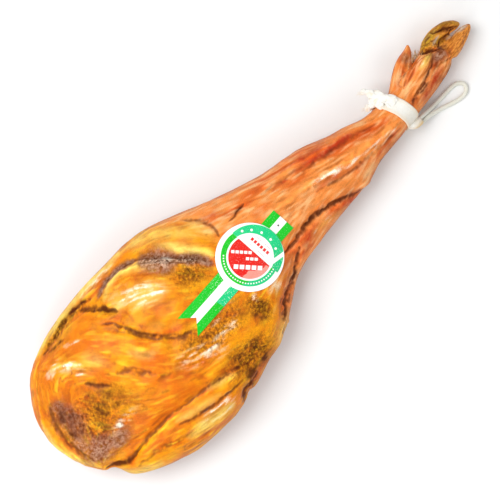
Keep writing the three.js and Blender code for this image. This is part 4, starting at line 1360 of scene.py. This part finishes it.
# The knot's strips of tape: half width, half thickness, twist, and the line that each follows.
knot = {
    "cell": 0.55,
    "strips": [
        (7.4, 1.7, 0.2, [(238, -3, 53), (236.5, 5, 51.5), (233, 13, 48), (230, 20, 42), (228, 25, 36)]),
        (4.8, 1.8, 0.7, [(231, 12, 45), (229, 20, 44), (226.5, 27, 41), (225, 32, 36), (224, 34.5, 33)]),
        (4.4, 1.7, 0.9, [(230, 9, 46), (223, 13, 42), (217, 15, 36), (213, 17, 30)]),
        (4.2, 1.9, 0.5, [(226, 5, 50), (224, 11, 46), (224, 18, 40), (226, 22, 33)]),
    ],
    "lumps": [((228, 16, 40), 6.2), ((222.5, 16, 39), 4.6)],
    "wrinkle": (0.85, 0.35),
    "tips": [((221.5, 33.4, 34), (-0.9, 0.7, -0.1)), ((212.3, 17.3, 29), (-0.9, 0.2, -0.4)),
             ((219, 15, 36), (-0.8, -0.5, 0.2))],
    "threads": 7,
    "threadLength": 5.0,
}


def stripParts(halfWidth, halfThickness, turning, path, seed):
    line = evenLine(np.array(path, float) + datum, 0.8)[0]
    tangents, across, up = sweepFrames(line)
    run = np.linspace(0, 1, len(line))
    twist = turning * np.sin(run * 5 + seed)
    angles = np.linspace(0, 2 * math.pi, 20, endpoint=False)
    wide = halfWidth * (0.85 + 0.2 * np.sin(run * 11 + 2 * seed))
    first = across * np.cos(twist)[:, None] + up * np.sin(twist)[:, None]
    second = up * np.cos(twist)[:, None] - across * np.sin(twist)[:, None]
    folded = halfThickness * (0.8 + 0.5 * np.cos(3 * angles + seed))
    rings = (line[:, None] + first[:, None] * (np.cos(angles)[None, :] * wide[:, None])[..., None]
             + second[:, None] * (np.sin(angles) * folded)[None, :, None])
    return loft(rings)


def joined(parts):
    points, faces, count = [], [], 0
    for partPoints, partFaces in parts:
        points.append(partPoints)
        if enclosed(partPoints, partFaces) < 0:
            partFaces = [face[::-1] for face in partFaces]
        faces += [tuple(index + count for index in face) for face in partFaces]
        count += len(partPoints)
    return np.vstack(points), faces


def ballParts(centre, radius):
    turns = np.linspace(0.15, math.pi - 0.15, 12)
    angles = np.linspace(0, 2 * math.pi, 18, endpoint=False)
    rings = np.stack([np.outer(np.sin(turns), np.cos(angles)), np.outer(np.sin(turns), np.sin(angles)),
                      np.outer(np.cos(turns), np.ones(18))], -1)
    return loft(np.array(centre) + datum + rings * radius)


def makeKnot():
    parts = [stripParts(*strip, seed) for seed, strip in enumerate(knot["strips"])]
    parts += [ballParts(*lump) for lump in knot["lumps"]]
    points, faces = joined(parts)
    source = bpy.data.meshes.new("knotSource")
    source.from_pydata([tuple(point) for point in points * mm], [], faces)
    mesh = voxelCopy(source, knot["cell"] * mm)
    points = relaxed(meshPoints(mesh) / mm, meshEdges(mesh), 2)
    setPoints(mesh, points * mm)
    deep, small = knot["wrinkle"]
    ruffle = 1 - 2 * np.abs(cloud(points * (0.6, 1, 1.3), 4.2, 61))
    points += meshNormals(mesh) * (deep * ruffle + small * cloud(points, 1.5, 62))[:, None]
    setPoints(mesh, points * mm)
    mesh.shade_smooth()
    piece = addObject("tape_knot", mesh)
    setValues(mesh, "clothPlace", (points * (1, 1, 0) + points[:, 2:] * (0.4, 0.6, 0)) / tape["thread"])
    # painted shade in the knot's hollows and towards its bottom, with faint random soiling
    knotShadeAndSoil = 0.3 * smoothStep(-0.1, 0.7, -ruffle) + 0.15 * (1 - smoothStep(28, 38, points[:, 2]))
    setValues(mesh, "stainAndShade", np.clip(knotShadeAndSoil + 0.15 * cloud(points, 5, 63), 0, 1))
    settle(piece, cottonTape, "tie_knot")
    makeFrayedEnds()


def looseThreads(tips, count, length, thick, jitter, seed):
    # thin bent threads that start inside what they grow out of
    chance = np.random.default_rng(seed)
    parts = []
    for spot, way in tips:
        for _ in range(count):
            start = np.array(spot) + datum + chance.uniform(-jitter, jitter, 3)
            aim = np.array(way) + chance.uniform(-0.6, 0.6, 3)
            aim *= length * chance.uniform(0.6, 1.2) / np.linalg.norm(aim)
            bend = chance.uniform(-1.2, 1.2, 3)
            line = evenLine([start - 0.5 * aim, start, start + 0.5 * aim + bend, start + aim], 0.5)[0]
            parts.append(loft(tubeRings(line, np.linspace(thick, 0.4 * thick, len(line)), 7)))
    return joined(parts)


def makeFrayedEnds():
    points, faces = looseThreads(knot["tips"], knot["threads"], knot["threadLength"],
                                 thick=0.3, jitter=2.2, seed=7)
    piece = newMesh("frayed_threads", points * mm, faces)
    setValues(piece.data, "clothPlace", points)
    setValues(piece.data, "stainAndShade", np.full(len(points), 0.25))
    settle(piece, cottonTape, "tie_knot")


# Stiff shreds of skin beside the dewclaws: where they start, and which way they point.
shreds = {
    "tips": [((292, 19, 33), (0.9, 0.7, 0.1)), ((296, 17, 32), (0.7, 0.8, 0.2)),
             ((300, 14, 32), (0.5, 0.9, 0.3))],
    "count": 6,
    "length": 8.0,
    "thick": 0.45,
    "colour": paintColour(226, 176, 118),
    "tipColour": paintColour(122, 96, 44),
}


def makeShreds():
    points, faces = looseThreads(shreds["tips"], shreds["count"], shreds["length"],
                                 shreds["thick"], jitter=1.8, seed=9)
    piece = newMesh("skin_shreds", points * mm, faces)
    material, tree, shader = newMaterial("skinShreds")
    place = addNode(tree, "ShaderNodeNewGeometry").outputs["Position"]
    strands = useGroup(tree, fibre, Vector=place, Count=900.0, Stretch=0.3)
    base = mixColour(tree, strands["Mask"], shreds["tipColour"], shreds["colour"])
    tree.links.new(base, shader.inputs["Base Color"])
    shader.inputs["Roughness"].default_value = 0.6
    bumpOf(tree, shader, (strands["Height"], 0.0002, 0.4))
    settle(piece, material, "ham")


makeShreds()
cottonTape = makeTapeCotton()
makeBand()
makeFold()
makeKnot()
print("tape tied")


# The paper ribbon and seal: lengths in millimetres from the seal's middle.
label = {
    "middle": (-6.0, -5.6),
    "turn": 2.5,
    "ribbonHalf": 15.2,
    "ribbonLeft": -106.0,
    "ribbonRight": 58.0,
    "notch": 15.0,
    "stripe": 5.0,  # half width of the white middle stripe
    "radius": 39.3,
    "thickness": 0.4,
    "teal": (-64.0, -20.0),  # from where to where the lower stripe is teal
    "dot": (48.5, -0.2),
    "dotRadius": 1.1,
    "ribbonGap": 0.3,  # over the ham
    "sealGap": 0.35,  # over the ribbon
    "settling": 14,  # rounds in which the paper is drawn smooth over what is under it
    "ribbonRub": ((-48, 0), (18, 18)),  # middle and radii of the places where ink is rubbed off
    "sealRub": ((16, -24), (14, 9)),
    "greenInk": paintColour(0, 192, 26),
    "tealInk": paintColour(0, 200, 124),
    "redInk": paintColour(224, 22, 4),
    "pinkInk": paintColour(242, 150, 134),
    "darkInk": paintColour(70, 62, 56),
    "white": paintColour(250, 248, 246),
}


def labelPlace(local):
    angle = math.radians(label["turn"])
    x, y = local.T
    turned = np.column_stack([x * math.cos(angle) - y * math.sin(angle),
                              x * math.sin(angle) + y * math.cos(angle)])
    return turned + label["middle"] + datum[:2]


def heightsUnder(trees, places):
    heights = np.full(len(places), -1.0)
    for tree in trees:
        for row, (x, y) in enumerate(places):
            hit = tree.ray_cast(Vector((x * mm, y * mm, 0.3)), Vector((0, 0, -1)))[0]
            if hit:
                heights[row] = max(heights[row], hit.z / mm)
    return heights


def faceEdges(faces):
    pairs = [(face[i - 1], face[i]) for face in faces for i in range(len(face))]
    return np.unique(np.sort(np.array(pairs), axis=1), axis=0)


def layPaper(name, local, faces, trees, gap, node, material):
    # a thin closed sheet laid over what is under it
    places = labelPlace(local)
    edges = faceEdges(faces)
    under = heightsUnder(trees, places)
    height = under.copy()
    for _ in range(label["settling"]):
        height = np.maximum(relaxed(height, edges, 3), under)
    height = np.maximum(relaxed(height, edges, 3), under) + gap
    paper = np.column_stack([local, np.zeros(len(local))])
    height += 0.16 * cloud(paper, 7, 71) + 0.1 * cloud(paper * (1, 3, 1), 5, 72)
    top = np.column_stack([places, height + label["thickness"]])
    count = len(top)
    used = {(face[i - 1], face[i]) for face in faces for i in range(len(face))}
    shell = list(faces) + [tuple(index + count for index in face[::-1]) for face in faces]
    shell += [(b, a, a + count, b + count) for a, b in used if (b, a) not in used]
    points = np.vstack([top, top - (0, 0, label["thickness"])])
    piece = newMesh(name, points * mm, shell)
    settle(piece, material, node)
    return piece


def twice(values):
    return np.concatenate([values, values])


def inkMask(tree, name, soft=0.14):
    # painted values are distances to the edge of the ink, so the edge stays sharp
    return spread(tree, paintedValue(tree, name), -soft, soft)


def makePaper(name, layers):
    # layers are the painted inks from the lowest up, and their colours
    material, tree, shader = newMaterial(name)
    wear = useGroup(tree, paperWear, Vector=paintedPlace(tree, "paperPlace"),
                    Scuff=paintedValue(tree, "scuff"))
    base = label["white"]
    for layer, colour in layers:
        base = mixColour(tree, inkMask(tree, layer), base, label[colour])
    base = mixColour(tree, wear["Rubbed"], base, label["white"])
    base = mixColour(tree, wear["Dirt"], base, label["darkInk"])
    tree.links.new(base, shader.inputs["Base Color"])
    tree.links.new(wear["Roughness"], shader.inputs["Roughness"])
    shader.inputs["Coat Weight"].default_value = 0.05
    shader.inputs["Specular IOR Level"].default_value = 0.25
    bumpOf(tree, shader, (wear["Height"], 0.00012, 0.4))
    return material


def paintPaper(piece, local, inks, scuff):
    # the same values on the top and the bottom of the sheet
    for name, values in inks.items():
        setValues(piece.data, name, twice(values))
    setValues(piece.data, "paperPlace", twice(np.column_stack([local, np.zeros(len(local))])))
    setValues(piece.data, "scuff", twice(np.clip(scuff + 0.25, 0, 1)))


def makeRibbon():
    rows, columns = 45, 300
    across = np.linspace(-1, 1, rows)
    left = label["ribbonLeft"] + label["notch"] * (1 - np.abs(across))
    share = np.linspace(0, 1, columns)
    along = left[:, None] + (label["ribbonRight"] - left)[:, None] * share[None, :]
    local = np.column_stack([along.ravel(), np.repeat(across * label["ribbonHalf"], columns)])
    material = makePaper("ribbonPaper", [("inkGreen", "greenInk"), ("inkTeal", "tealInk"),
                                         ("inkDot", "darkInk")])
    piece = layPaper("label_strip", local, gridFaces(rows, columns), [hamTree], label["ribbonGap"],
                     "label_ribbon", material)
    x, y = local.T
    start, end = label["teal"]
    edge = np.abs(y) - label["stripe"]
    lower = np.minimum(np.minimum(edge, -y), np.minimum(x - start + 0.2 * y, end - x))
    dot = label["dotRadius"] - np.hypot(*(local - label["dot"]).T)
    inks = {"inkGreen": edge, "inkTeal": lower, "inkDot": dot}
    paintPaper(piece, local, inks, patchMask(local, *label["ribbonRub"]))
    return piece


def barDistance(local, middle, size, turn):
    along, across = alongAcross(local, middle, turn)
    return np.minimum(size[0] / 2 - np.abs(along), size[1] / 2 - np.abs(across))


def dotDistance(local, reach, degrees, radius):
    angle = math.radians(degrees)
    spot = np.array([reach * math.cos(angle), reach * math.sin(angle)])
    return radius - np.hypot(*(local - spot).T)


# The seal's plain shapes, from its middle. Rows are middle, count, step, height of a block.
seal = {
    "split": 7.5,  # x between the rings and the crescent
    "ring": (26.8, 33.2),
    "disc": 24.6,
    "crescent": ((5, -1), 34.2, 27.4),  # middle and radius of its outer edge, radius of its inner one
    "slash": ((18, -24), (26, 4.5), -12),
    "rows": [((-2, 11), 5, 4.9, 3.4), ((0, -3), 3, 4.9, 3.4), ((-10, -6), 5, 6.8, 5.0)],
    "rowTurn": -52,
    "rowRun": (0.616, -0.788),  # the same turn as a direction
    "bigDots": (31, 1.5, (58, 38, 16, -8, -30)),  # distance, radius, angles
    "smallDots": (30, 0.9, range(128, 290, 6)),
    "columnBlocks": [((17.2, 11.5 - 4.6 * step), (3.6, 3.2)) for step in range(6)],
    "columnLines": [((across, 0), (0.45, 24)) for across in (11.2, 22.4)],
}
noInk = -9.0  # the distance given where there is no ink near


def sealMarks(local, disc):
    marks = np.full(len(local), noInk)
    runX, runY = seal["rowRun"]
    for (left, top), count, pitch, size in seal["rows"]:
        for step in np.arange(count) - (count - 1) / 2:
            spot = (left + step * pitch * runX, top + step * pitch * runY)
            marks = np.maximum(marks, barDistance(local, spot, (pitch * 0.76, size), seal["rowTurn"]))
    marks = np.minimum(marks, disc - 1.2)
    for reach, radius, angles in (seal["bigDots"], seal["smallDots"]):
        for angle in angles:
            marks = np.maximum(marks, dotDistance(local, reach, angle, radius))
    return marks


def sealInks(local):
    # distances to the edges of the inks, positive inside
    x, y = local.T
    away = np.hypot(x, y)
    inner, outer = seal["ring"]
    rings = np.minimum(np.minimum(outer - away, away - inner), seal["split"] - x)
    (midX, midY), wide, hollow = seal["crescent"]
    crescent = np.minimum(wide - np.hypot(x - midX, y - midY), away - hollow)
    crescent = np.minimum(crescent, x - seal["split"])
    crescent = np.minimum(crescent, -barDistance(local, *seal["slash"]))
    disc = np.minimum(seal["disc"] - away, seal["split"] - x)
    blocks = np.full(len(local), noInk)
    for middle, size in seal["columnBlocks"] + seal["columnLines"]:
        blocks = np.maximum(blocks, barDistance(local, middle, size, 0))
    teal = np.maximum(crescent, np.minimum(rings, -26 - y - 0.4 * x))
    faded = -19 - y - 0.6 * x + 4 * cloud(np.column_stack([local, 0 * x]), 6, 81)
    return {"inkGreen": rings, "inkTeal": teal, "inkRed": disc, "inkBlocks": blocks,
            "inkMarks": sealMarks(local, disc), "inkFade": np.minimum(disc, faded)}


def makeSeal(ribbon):
    rings, spokes = 64, 300
    reach = np.linspace(0.6, label["radius"], rings)
    angles = np.linspace(0, 2 * math.pi, spokes, endpoint=False)
    local = np.column_stack([np.outer(reach, np.cos(angles)).ravel(),
                             np.outer(reach, np.sin(angles)).ravel()])
    faces = [face[::-1] for face in gridFaces(rings, spokes, closedColumns=True)] + [tuple(range(spokes))]
    material = makePaper("sealPaper", [("inkGreen", "greenInk"), ("inkTeal", "tealInk"), ("inkRed", "redInk"),
                                       ("inkFade", "pinkInk"), ("inkBlocks", "redInk"),
                                       ("inkMarks", "white")])
    piece = layPaper("label_disc", local, faces, [hamTree, treeOf(ribbon.data)], label["sealGap"],
                     "label_seal", material)
    paintPaper(piece, local, sealInks(local), patchMask(local, *label["sealRub"]))


makeSeal(makeRibbon())
print("label laid")
